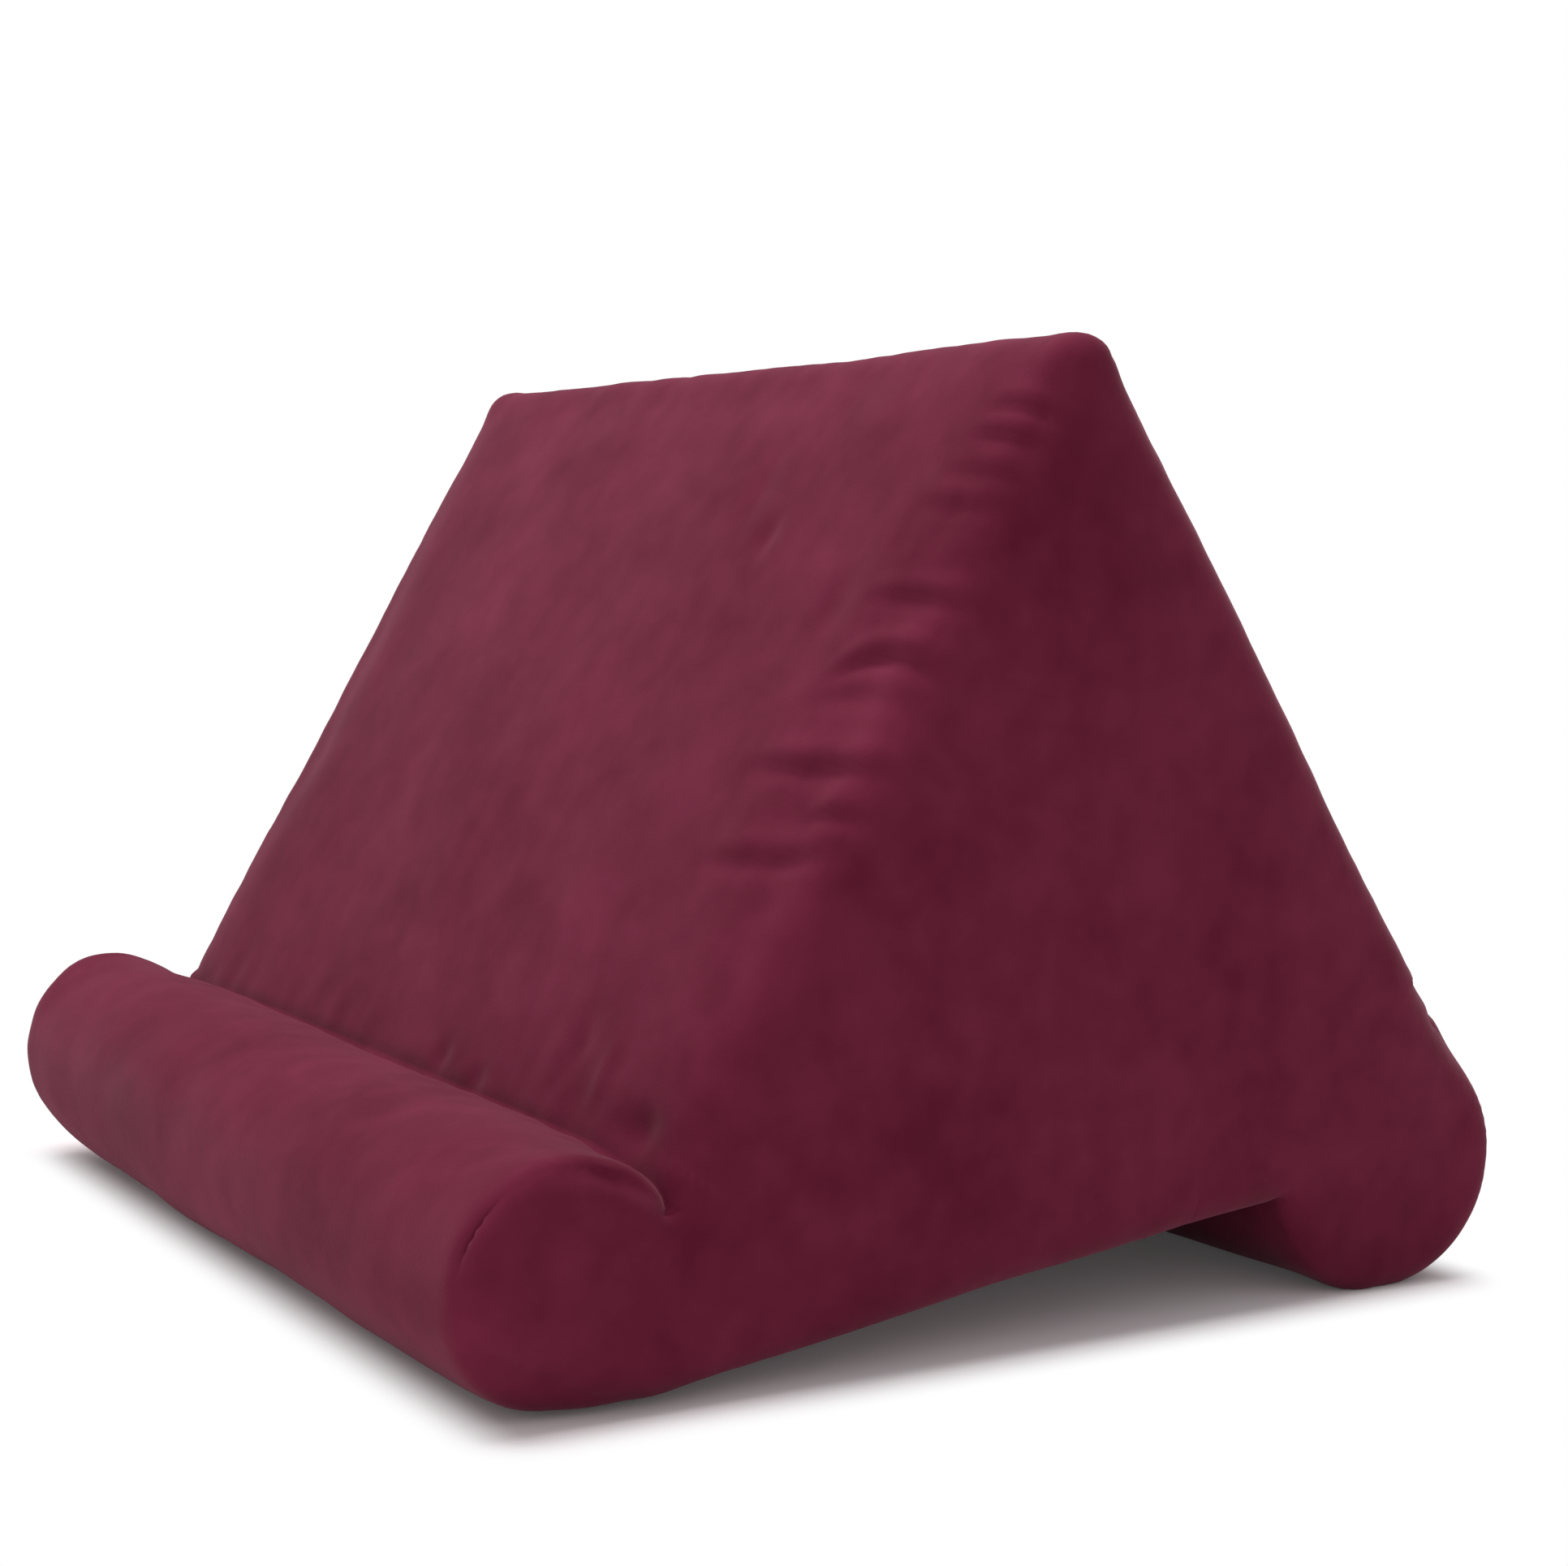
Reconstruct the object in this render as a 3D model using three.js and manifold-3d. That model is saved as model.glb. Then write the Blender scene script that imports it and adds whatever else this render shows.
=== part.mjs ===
// Tablet cushion stand: a wedge cushion with a ledge roll in front and a foot roll behind, in a sewn
// pile-fabric cover that opens by a zip in its underside.
// Millimetres. +X runs along the ledge, +Y to the back, +Z up. The origin is on the table, under the middle.

import * as THREE from "three";
import { mergeVertices } from "three/addons/utils/BufferGeometryUtils.js";
import Module from "manifold-3d";

// Overall sizes
const WIDTH = 270;
const DEPTH = 265;
const HEIGHT = 206;

// Side view: two rolls on the table, and the wedge that stands between them
const LEDGE_RADIUS = 25.5;
const FOOT_RADIUS = 33;
const TOP_RADIUS = 9;
const TOP_SETBACK = 140; // front of the ledge roll to the middle of the top edge
const TROUGH_ANGLE = 41.2; // where the rest face meets the ledge roll, in degrees round the roll from its back
const HEEL_ANGLE = 59.2; // where the back meets the foot roll, in degrees round the roll from its back
const ARCH_ANGLE = 195.3; // where the underside meets the foot roll, in the same way
const TABLE_FLAT = 0.5; // how far each roll is pressed flat on the table

// Stuffed shape
const SEAM_PULL = 2.6; // how far the cover is drawn in at the side seams
const SEAM_REACH = 14; // width beside a side seam over which it is drawn in
const FACE_CROWN = 3; // swell of the rest face and of the back
const SIDE_CROWN = 3.4; // swell of the side panels
const SIDE_CROWN_REACH = 16; // distance from the seam at which a side panel reaches its full swell

// Fabric, thread, webs and fillings
const FABRIC = 2;
const THREAD = 0.8;
const WEB = 1;
const WADDING = 6;
const FIT = 0.3; // gap between neighbouring pieces
const FILL_FIT = 0.9; // gap between a filling and the soft pieces round it
const DOME_FIT = 1.2; // gap between the domed end of a filling and the side panel

// Zip
const ZIP_FROM_ARCH = 26; // middle of the zip to the arch seam
const ZIP_OPENING = 14; // between the two edges of the underside that the zip joins
const TAPE = 0.8;
const TAPE_OVERLAP = 6; // tape hidden behind each edge
const COIL_WIDTH = 2.4;
const COIL_HEIGHT = 1.6;
const COIL_PITCH = 2.5;
const COIL_SPINE = 0.9; // the sewn edge of the coil, beside its teeth
const COIL_TOOTH = 1.4;
const CHAIN_END = 1; // chain's end to the drawn-in edge
const STOP_LENGTH = 3;
const STOP_CLEARANCE = 1; // slider to a stop at the end of its travel
const STITCH_MARGIN = 3; // zip stitching from the edge of the fabric

// Zip slider and pull
const SLIDER_LENGTH = 11;
const SLIDER_TAIL = 3; // length of the taper at each end
const SLIDER_TAIL_INSET = 1; // how far the taper narrows each side
const PLATE = 1;
const POST = 0.8;
const POST_LENGTH = 3;
const FLANGE = 0.8;
const BRIDGE_LENGTH = 7;
const BRIDGE_WIDTH = 2.4;
const BRIDGE_BAR = 1;
const PULL_LENGTH = 13;
const PULL_THICKNESS = 1.2;
const PULL_RAIL = 1.2;
const PULL_CORNER = 1.5;

// Facets
const ARC_STEPS = 12;
const TOP_STEPS = 6;
const FACE_STEPS = 5;
const THREAD_SIDES = 6;
const COLUMN_SPACING = 3.5; // least distance between two columns of a side panel's facets
const END_COLUMN_SHARE = 0.6; // the same near an end of the panel, as a share of the way from that end
const SHOULDER_STEPS = [0.45, 0.75, 1]; // stations in the drawn-in strip beside a side seam
const SIDE_ROWS = [0, 2, 8, 20]; // heights above and below a side panel's rim, on a tall column
const TALL_COLUMN = 60;
const DOME_STEPS = [0.85, 0.55]; // shrunken sections that round off the ends of a filling
const LEAST_TOP_RADIUS = 0.5;

// Places along the width
const SEAM_GAP = THREAD + 2 * FIT;
const SEAM_X = WIDTH / 2 - SIDE_CROWN - SEAM_GAP / 2;
const EDGE_X = SEAM_X - SEAM_GAP / 2;
const RIM_X = SEAM_X + SEAM_GAP / 2;
const SHOULDER_X = SEAM_X - SEAM_REACH;
const CHAIN_HALF = SHOULDER_X - CHAIN_END;

// Levels in the zip, from the outside of the underside inwards
const TAPE_LEVEL = FABRIC + FIT;
const COIL_LEVEL = TAPE_LEVEL - FIT - COIL_HEIGHT;
const OUTER_PLATE_LEVEL = COIL_LEVEL - FIT - PLATE;
const INNER_PLATE_LEVEL = TAPE_LEVEL + TAPE + FIT;
const SLIT_HALF = POST / 2 + FIT;
const SLIDER_HALF = SLIT_HALF + COIL_WIDTH + FIT + FLANGE;
const BRIDGE_OPENING = PULL_THICKNESS * Math.SQRT2 + 2 * FIT;
const PULL_LEVEL = OUTER_PLATE_LEVEL - BRIDGE_OPENING / 2;
const SLIDER_HOME = CHAIN_HALF - SLIDER_LENGTH / 2 - STOP_CLEARANCE;

const wasm = await Module();
wasm.setup();

// Points of the side view are (y, z) pairs.
const at = (y, z) => new THREE.Vector2(y, z);
const polar = (angle) => at(Math.cos(angle), Math.sin(angle));
const angleOf = (from, to) => Math.atan2(to.y - from.y, to.x - from.x);
const moved = (point, direction, distance) => point.clone().addScaledVector(direction, distance);

// A straight face of the side view: the points p with normal . p = offset, the normal pointing out.
// Walking clockwise round the side view, "along" is the way forward on the face.
function faceThrough(point, normalAngle) {
  const normal = polar(normalAngle);
  return { normal, along: at(normal.y, -normal.x), offset: normal.dot(point) };
}
const shifted = (face, distance) => ({ ...face, offset: face.offset + distance });
const atDepth = (face, depth) => shifted(face, -depth);

function meet(first, second) {
  const cross = first.normal.cross(second.normal);
  const y = (first.offset * second.normal.y - second.offset * first.normal.y) / cross;
  const z = (first.normal.x * second.offset - second.normal.x * first.offset) / cross;
  return at(y, z);
}

// Where a face meets a roll: way is 1 where the clockwise walk on the face leaves the roll, -1 where it enters.
function meetRoll(face, roll, depth, way) {
  const distance = face.offset - face.normal.dot(roll.centre);
  const half = Math.sqrt((roll.radius - depth) ** 2 - distance ** 2);
  return moved(moved(roll.centre, face.normal, distance), face.along, way * half);
}

const rollPointAt = (roll, degrees) =>
  moved(roll.centre, polar(THREE.MathUtils.degToRad(degrees)), roll.radius);

// The side view at full size
const ledge = { centre: at(LEDGE_RADIUS - DEPTH / 2, LEDGE_RADIUS - TABLE_FLAT), radius: LEDGE_RADIUS };
const foot = { centre: at(DEPTH / 2 - FOOT_RADIUS, FOOT_RADIUS - TABLE_FLAT), radius: FOOT_RADIUS };
const topCentre = at(TOP_SETBACK - DEPTH / 2, HEIGHT - TOP_RADIUS);
const trough = rollPointAt(ledge, TROUGH_ANGLE);
const heel = rollPointAt(foot, HEEL_ANGLE);
const arch = rollPointAt(foot, ARCH_ANGLE);

const table = faceThrough(at(0, 0), -Math.PI / 2);
const restTurn = Math.asin(TOP_RADIUS / trough.distanceTo(topCentre));
const restFace = faceThrough(trough, angleOf(trough, topCentre) + restTurn + Math.PI / 2);
const backTurn = Math.asin(TOP_RADIUS / heel.distanceTo(topCentre));
const backFace = faceThrough(heel, angleOf(heel, topCentre) - backTurn - Math.PI / 2);
const baseTurn = Math.acos(LEDGE_RADIUS / arch.distanceTo(ledge.centre));
const baseFace = faceThrough(arch, angleOf(ledge.centre, arch) - baseTurn);

// A point of the underside: way back from the middle of the zip, and depth in from the outside.
const zipMiddle = moved(arch, baseFace.along, ZIP_FROM_ARCH);
const underside = (back, depth) => moved(moved(zipMiddle, baseFace.along, -back), baseFace.normal, -depth);
const undersideSlope = Math.atan2(-baseFace.along.y, -baseFace.along.x);

// How far the cover is drawn in, and how far its faces swell, at x
const pullAt = (x) => SEAM_PULL * (Math.max(0, Math.abs(x) - SHOULDER_X) / SEAM_REACH) ** 2;
const crownAt = (x) => FACE_CROWN * Math.max(0, 1 - (x / SEAM_X) ** 2);

// Corners of the side view at a depth
const troughAt = (depth) => meetRoll(atDepth(restFace, depth), ledge, depth, 1);
const heelAt = (depth) => meetRoll(atDepth(backFace, depth), foot, depth, -1);
const archAt = (depth) => meetRoll(atDepth(baseFace, depth), foot, depth, 1);

function topAt(depth) {
  const radius = Math.max(TOP_RADIUS - depth, LEAST_TOP_RADIUS);
  const centre = meet(atDepth(restFace, depth + radius), atDepth(backFace, depth + radius));
  return { centre, start: moved(centre, restFace.normal, radius), end: moved(centre, backFace.normal, radius) };
}

restFace.ends = [trough, topAt(0).start];
backFace.ends = [topAt(0).end, heel];

// A clockwise arc and a line that swells with its face, both with their two ends
function arc(centre, from, to, steps) {
  const radius = centre.distanceTo(from);
  const start = angleOf(centre, from);
  let turn = angleOf(centre, to) - start;
  if (turn > 0) turn -= 2 * Math.PI;
  return Array.from({ length: steps + 1 }, (_, i) => moved(centre, polar(start + (turn * i) / steps), radius));
}

function swelling(from, to, face, crown) {
  const [low, high] = face.ends.map((end) => face.along.dot(end));
  return Array.from({ length: FACE_STEPS + 1 }, (_, i) => {
    const point = from.clone().lerp(to, i / FACE_STEPS);
    const share = THREE.MathUtils.clamp((face.along.dot(point) - low) / (high - low), 0, 1);
    return moved(point, face.normal, crown * Math.sin(Math.PI * share));
  });
}

// Stretches of the cover in the side view, clockwise
function overTop(from, to, depth, crown) {
  const top = topAt(depth);
  const up = swelling(from, top.start, restFace, crown);
  const down = swelling(top.end, to, backFace, crown);
  return { up, over: arc(top.centre, top.start, top.end, TOP_STEPS), down };
}

function frontLine(depth, crown) {
  const { up, over } = overTop(troughAt(depth), heelAt(depth), depth, crown);
  return [...up, ...over.slice(1)];
}

const backLine = (depth, crown) => overTop(troughAt(depth), heelAt(depth), depth, crown).down;

function footLine(depth) {
  const floor = atDepth(table, depth);
  const rearFlat = meetRoll(floor, foot, depth, -1);
  const frontFlat = meetRoll(floor, foot, depth, 1);
  const behind = arc(foot.centre, heelAt(depth), rearFlat, ARC_STEPS);
  return [...behind, ...arc(foot.centre, frontFlat, archAt(depth), ARC_STEPS / 3)];
}

const baseLine = (depth) => [archAt(depth), underside(ZIP_OPENING / 2, depth)];

function ledgeLine(depth) {
  const floor = atDepth(table, depth);
  const rearFlat = meet(atDepth(baseFace, depth), floor);
  const frontFlat = meetRoll(floor, ledge, depth, 1);
  const round = arc(ledge.centre, frontFlat, troughAt(depth), ARC_STEPS + 2);
  return [underside(-ZIP_OPENING / 2, depth), rearFlat, ...round];
}

// The whole side view at a depth, as one ring
function outline(depth) {
  const lines = [frontLine(depth, 0), backLine(depth, 0), footLine(depth), baseLine(depth), ledgeLine(depth)];
  const points = lines.flat();
  return points.filter((point, i) => point.distanceTo(points[(i + 1) % points.length]) > FIT);
}

// A closed solid made of triangles, whose shared points are kept once
function solidBuilder() {
  const places = [];
  const triangles = [];
  const known = new Map();
  const vertex = (point) => {
    const key = point.toArray().map((value) => Math.round(value * 1e4)).join();
    if (!known.has(key)) {
      known.set(key, places.length / 3);
      places.push(...point.toArray());
    }
    return known.get(key);
  };
  const triangle = (a, b, c) => {
    if (a !== b && b !== c && c !== a) triangles.push(a, b, c);
  };
  const quad = (a, b, c, d) => {
    triangle(a, b, c);
    triangle(a, c, d);
  };
  const geometry = () => {
    const made = new THREE.BufferGeometry();
    made.setAttribute("position", new THREE.Float32BufferAttribute(places, 3));
    made.setIndex(triangles);
    made.computeVertexNormals();
    return made;
  };
  return { vertex, triangle, quad, geometry };
}

const middleOf = (ring) => ring.reduce((sum, point) => sum.add(point), at(0, 0)).divideScalar(ring.length);

// A solid from rings of the side view, in order of their x. A band, which is a line there and back, is closed
// across its thickness at both ends, and any other ring from its middle.
function loft(sections, isBand = false) {
  const turned = THREE.ShapeUtils.area(sections[0].ring) < 0;
  const rings = sections.map(({ ring }) => (turned ? [...ring].reverse() : ring));
  const build = solidBuilder();
  const place = (s, point) => build.vertex(new THREE.Vector3(sections[s].x, point.x, point.y));
  const rows = rings.map((ring, s) => ring.map((point) => place(s, point)));
  const count = rings[0].length;
  for (let s = 0; s + 1 < rows.length; s++) {
    for (let i = 0; i < count; i++) {
      const next = (i + 1) % count;
      build.quad(rows[s][i], rows[s][next], rows[s + 1][next], rows[s + 1][i]);
    }
  }
  for (const s of [0, rows.length - 1]) {
    const row = s === 0 ? [...rows[s]].reverse() : rows[s];
    if (isBand) {
      for (let i = 0; i + 1 < count / 2; i++) build.quad(row[i], row[i + 1], row[count - 2 - i], row[count - 1 - i]);
    } else {
      const middle = place(s, middleOf(rings[s]));
      row.forEach((corner, i) => build.triangle(corner, row[(i + 1) % count], middle));
    }
  }
  return build.geometry();
}

// Stations across the width, closer together where the cover is drawn in
const shoulders = [SHOULDER_X / 3, SHOULDER_X];
for (const share of SHOULDER_STEPS) shoulders.push(SHOULDER_X + share * (EDGE_X - SHOULDER_X));
const stations = [...shoulders.map((x) => -x).reverse(), ...shoulders];

// Shortens two matching lines at their start, leaving half a seam's gap
function trimStart(outer, inner) {
  const mitre = outer[0].clone().sub(inner[0]).normalize();
  const cut = (line) => {
    const forward = line[1].clone().sub(line[0]).normalize();
    return [moved(line[0], forward, SEAM_GAP / 2 / Math.abs(mitre.cross(forward))), ...line.slice(1)];
  };
  return [cut(outer), cut(inner)];
}

// A ring of fabric between a stretch of the cover's outside and the same stretch on its inside
function fabricRing(line, depth, crown, seams) {
  let pair = [line(depth, crown), line(depth + FABRIC, crown)];
  if (seams.start) pair = trimStart(...pair);
  if (seams.end) pair = trimStart(...pair.map((side) => side.reverse()));
  const [outer, inner] = pair;
  return [...outer, ...inner.reverse()];
}

const panel = (line, seams) =>
  loft(stations.map((x) => ({ x, ring: fabricRing(line, pullAt(x), crownAt(x), seams) })), true);

// Swell of a side panel at a distance from its seam
function sideCrown(distance) {
  const share = 1 - Math.min(distance / SIDE_CROWN_REACH, 1);
  return SIDE_CROWN * Math.sqrt(1 - share ** 2);
}

// Lowest and highest point of a ring at y
function span(ring, y) {
  const heights = [];
  ring.forEach((start, i) => {
    const end = ring[(i + 1) % ring.length];
    if ((start.x - y) * (end.x - y) > 0) return;
    const share = start.x === end.x ? 0 : (y - start.x) / (end.x - start.x);
    heights.push(start.y + share * (end.y - start.y));
  });
  return [Math.min(...heights), Math.max(...heights)];
}

function distanceTo(ring, point) {
  const distances = ring.map((start, i) => {
    const run = ring[(i + 1) % ring.length].clone().sub(start);
    const share = run.lengthSq() > 0 ? point.clone().sub(start).dot(run) / run.lengthSq() : 0;
    return moved(start, run, THREE.MathUtils.clamp(share, 0, 1)).distanceTo(point);
  });
  return Math.min(...distances);
}

// Columns of facets across a ring: its corners first, then its other points where there is room,
// closer together towards its two ends
function columnsOf(ring, corners) {
  const sides = ring.map((point) => point.x);
  const ends = [Math.min(...sides), Math.max(...sides)];
  const columns = [...ends, ...corners.map((point) => point.x)];
  for (const y of sides) {
    const fromEnd = Math.min(y - ends[0], ends[1] - y);
    const room = Math.min(COLUMN_SPACING, fromEnd * END_COLUMN_SHARE);
    if (columns.every((taken) => Math.abs(taken - y) > room)) columns.push(y);
  }
  return columns.sort((a, b) => a - b);
}

// A side panel: a dished sheet that swells from its rim
function sidePanel(side) {
  const rim = outline(SEAM_PULL);
  const corners = [troughAt(SEAM_PULL), heelAt(SEAM_PULL), archAt(SEAM_PULL)];
  const build = solidBuilder();
  const grids = columnsOf(rim, corners).map((y) => {
    const [low, high] = span(rim, y);
    const scale = Math.min(1, (high - low) / TALL_COLUMN);
    const rises = SIDE_ROWS.map((rise) => rise * scale);
    const heights = [...rises.map((rise) => low + rise), (low + high) / 2];
    heights.push(...rises.map((rise) => high - rise).reverse());
    return heights.map((height, row) => {
      const onRim = row === 0 || row === heights.length - 1;
      const swell = onRim ? 0 : sideCrown(distanceTo(rim, at(y, height)));
      const place = (out) => build.vertex(new THREE.Vector3(side * (RIM_X + out), y, height));
      return { outer: place(swell), inner: place(Math.max(0, swell - FABRIC)) };
    });
  });
  for (let c = 0; c + 1 < grids.length; c++) {
    for (let r = 0; r + 1 < grids[c].length; r++) {
      const patch = [grids[c][r], grids[c + 1][r], grids[c + 1][r + 1], grids[c][r + 1]];
      const outside = patch.map((corner) => corner.outer);
      const inside = patch.map((corner) => corner.inner);
      build.quad(...(side > 0 ? outside : outside.reverse()));
      build.quad(...(side > 0 ? inside.reverse() : inside));
    }
  }
  return build.geometry();
}

// Webs inside the cover, seen from the side: each faces the wedge
function webBetween(high, low, roll) {
  const normalAngle = angleOf(low, high) - Math.PI / 2;
  const face = faceThrough(low, normalAngle);
  const facesRoll = face.normal.dot(roll.centre) > face.offset;
  return { high, low, face: facesRoll ? faceThrough(low, normalAngle + Math.PI) : face };
}

const troughDrop = angleOf(troughAt(SEAM_PULL + FABRIC), troughAt(FABRIC));

function ledgeWeb(x) {
  const depth = pullAt(x) + FABRIC;
  const high = troughAt(depth);
  const low = meet(faceThrough(high, troughDrop - Math.PI / 2), atDepth(baseFace, depth + FIT));
  return webBetween(high, low, ledge);
}

const footWeb = (x) => webBetween(heelAt(pullAt(x) + FABRIC), archAt(pullAt(x) + FABRIC), foot);

function webRing({ high, low, face }) {
  const run = high.clone().sub(low).normalize();
  const ends = [moved(low, run, WEB), moved(high, run, -WEB)];
  const near = ends.map((end) => moved(end, face.normal, WEB / 2));
  const far = ends.map((end) => moved(end, face.normal, -WEB / 2));
  return [...near, ...far.reverse()];
}

const divider = (webAt) => loft(stations.map((x) => ({ x, ring: webRing(webAt(x)) })));

// A filling's stations: across the cover, then domed into the side panels at both ends
function filling(ringAt) {
  const endX = Math.max(RIM_X + sideCrown(FABRIC + FILL_FIT) - FABRIC - DOME_FIT, EDGE_X + FIT);
  const ends = ringAt(SEAM_X);
  const middle = middleOf(ends);
  const reach = distanceTo(ends, middle);
  const domes = [1, ...DOME_STEPS].map((share) => {
    const depth = FABRIC + FILL_FIT + reach * (1 - share);
    const x = endX + sideCrown(depth) - sideCrown(FABRIC + FILL_FIT);
    return { x, ring: ends.map((point) => middle.clone().lerp(point, share)) };
  });
  const mirrored = domes.map(({ x, ring }) => ({ x: -x, ring })).reverse();
  return loft([...mirrored, ...stations.map((x) => ({ x, ring: ringAt(x) })), ...domes]);
}

// The fillings of the two rolls, each cut off by its web
const onTable = (depth) => (point) => at(point.x, Math.max(point.y, depth));
const fillDepth = (x) => pullAt(x) + FABRIC + FILL_FIT;

function ledgeFilling(x) {
  const depth = fillDepth(x);
  const cut = shifted(ledgeWeb(x).face, -WEB / 2 - FILL_FIT);
  const base = atDepth(baseFace, depth);
  const floor = atDepth(table, depth);
  const round = arc(ledge.centre, meetRoll(floor, ledge, depth, 1), meetRoll(cut, ledge, depth, -1), ARC_STEPS + 2);
  return [meet(cut, base), meet(base, floor), ...round];
}

function footFilling(x) {
  const depth = fillDepth(x);
  const cut = shifted(footWeb(x).face, -WEB / 2 - FILL_FIT);
  const ends = [1, -1].map((way) => meetRoll(cut, foot, depth, way));
  return arc(foot.centre, ...ends, 2 * ARC_STEPS - 4).map(onTable(depth));
}

// The sides of the space for the wedge: the two webs, and the tape of the zip
const frontLimit = (x) => shifted(ledgeWeb(x).face, WEB / 2 + FILL_FIT);
const rearLimit = (x) => shifted(footWeb(x).face, WEB / 2 + FILL_FIT);
const baseLimit = (x) => atDepth(baseFace, pullAt(x) + TAPE_LEVEL + TAPE + FILL_FIT);

// Where a face meets a first limit, or a second one that it reaches before
function meetLimits(face, first, second) {
  const corner = meet(face, first);
  return second.normal.dot(corner) > second.offset ? meet(face, second) : corner;
}

// The line over the wedge at a depth, from one web to the other
function wedgeLine(x, depth) {
  const from = meetLimits(atDepth(restFace, depth), frontLimit(x), baseLimit(x));
  const to = meetLimits(atDepth(backFace, depth), rearLimit(x), baseLimit(x));
  const { up, over, down } = overTop(from, to, depth, crownAt(x));
  return [...up, ...over.slice(1, -1), ...down];
}

const waddingRing = (x) => [
  ...wedgeLine(x, fillDepth(x)),
  ...wedgeLine(x, fillDepth(x) + WADDING).reverse(),
];

// The wedge core, with a groove along its underside where the slider runs
function wedgeRing(x) {
  const depth = fillDepth(x) + WADDING + FILL_FIT;
  const bottom = baseFace.offset - baseLimit(x).offset;
  const groove = Math.abs(x) > SHOULDER_X ? bottom : INNER_PLATE_LEVEL + PLATE + FILL_FIT;
  const grooveHalf = SLIDER_HALF + FILL_FIT;
  return [
    ...wedgeLine(x, depth),
    meetLimits(baseLimit(x), rearLimit(x), atDepth(backFace, depth)),
    underside(grooveHalf, bottom),
    underside(grooveHalf, groove),
    underside(-grooveHalf, groove),
    underside(-grooveHalf, bottom),
    meetLimits(baseLimit(x), frontLimit(x), atDepth(restFace, depth)),
  ];
}

// Threads: one runs across the width at a point of the side view, one runs round a side seam
function threadRing(middle) {
  const sides = Array.from({ length: THREAD_SIDES }, (_, i) => (2 * Math.PI * i) / THREAD_SIDES);
  return sides.map((angle) => moved(middle, polar(angle), THREAD / 2));
}

const crossThread = (pointAt) => loft(stations.map((x) => ({ x, ring: threadRing(pointAt(x)) })));

function seamThread(x) {
  const path = outline(SEAM_PULL + FABRIC / 2);
  const build = solidBuilder();
  const rings = path.map((point, i) => {
    const before = path[(i + path.length - 1) % path.length];
    const forward = path[(i + 1) % path.length].clone().sub(before).normalize();
    const outward = at(-forward.y, forward.x);
    return threadRing(at(0, 0)).map((offset) => {
      const place = moved(point, outward, offset.x);
      return build.vertex(new THREE.Vector3(x + offset.y, place.x, place.y));
    });
  });
  rings.forEach((ring, i) => {
    const next = rings[(i + 1) % rings.length];
    ring.forEach((_, k) => {
      const turn = (k + 1) % THREAD_SIDES;
      build.quad(ring[k], ring[turn], next[turn], next[k]);
    });
  });
  return build.geometry();
}

const midFabric = (x) => pullAt(x) + FABRIC / 2;
const stitchLevel = (x) => pullAt(x) - FIT - THREAD / 2;
const stitchWay = ZIP_OPENING / 2 + STITCH_MARGIN;

// A zip tape, from the slit in the middle to behind the edge of the fabric
function tape(way) {
  const edges = [SLIT_HALF, ZIP_OPENING / 2 + TAPE_OVERLAP].map((edge) => way * edge);
  return loft(
    stations.map((x) => {
      const levels = [TAPE_LEVEL, TAPE_LEVEL + TAPE].map((level) => level + pullAt(x));
      const ring = [
        underside(edges[0], levels[0]),
        underside(edges[1], levels[0]),
        underside(edges[1], levels[1]),
        underside(edges[0], levels[1]),
      ];
      return { x, ring };
    }),
  );
}

// Pieces of the zip are made lying flat: x along the zip, y to the back, z into the cushion.
function slab(points, level, height) {
  const shape = new THREE.Shape(points);
  return new THREE.ExtrudeGeometry(shape, { depth: height, bevelEnabled: false }).translate(0, 0, level);
}

function block(xs, ys, zs) {
  const sizes = [xs, ys, zs].map(([low, high]) => high - low);
  const middles = [xs, ys, zs].map(([low, high]) => (low + high) / 2);
  return new THREE.BoxGeometry(...sizes).translate(...middles);
}

// A coil: a spine on the tape, with teeth towards the slit
function coil(way) {
  const outer = SLIT_HALF + COIL_WIDTH;
  const root = outer - COIL_SPINE;
  const teeth = Math.floor((2 * CHAIN_HALF) / COIL_PITCH);
  const first = (-teeth * COIL_PITCH) / 2;
  const points = [at(first + teeth * COIL_PITCH, way * outer), at(first, way * outer)];
  for (let i = 0; i < teeth; i++) {
    const start = first + i * COIL_PITCH + (COIL_PITCH - COIL_TOOTH) / 2;
    points.push(at(start, way * root), at(start, way * SLIT_HALF));
    points.push(at(start + COIL_TOOTH, way * SLIT_HALF), at(start + COIL_TOOTH, way * root));
  }
  points.splice(2, 0, at(first, way * root));
  points.push(at(first + teeth * COIL_PITCH, way * root));
  return slab(points, COIL_LEVEL, COIL_HEIGHT);
}

function stop(side, low, high) {
  const start = CHAIN_HALF + FIT;
  const xs = [side * start, side * (start + STOP_LENGTH)].sort((a, b) => a - b);
  return block(xs, [low, high], [COIL_LEVEL, COIL_LEVEL + COIL_HEIGHT]);
}

// Joins closed shapes into one solid
function joined(shapes) {
  const solids = shapes.map((shape) => {
    const bare = shape.clone().deleteAttribute("normal").deleteAttribute("uv");
    const merged = mergeVertices(bare);
    const vertProperties = new Float32Array(merged.attributes.position.array);
    const triVerts = new Uint32Array(merged.index.array);
    return new wasm.Manifold(new wasm.Mesh({ numProp: 3, vertProperties, triVerts }));
  });
  const mesh = solids.reduce((sum, solid) => sum.add(solid)).getMesh();
  const made = new THREE.BufferGeometry();
  made.setAttribute("position", new THREE.Float32BufferAttribute(mesh.vertProperties, 3));
  made.setIndex([...mesh.triVerts]);
  made.computeVertexNormals();
  return made;
}

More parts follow.
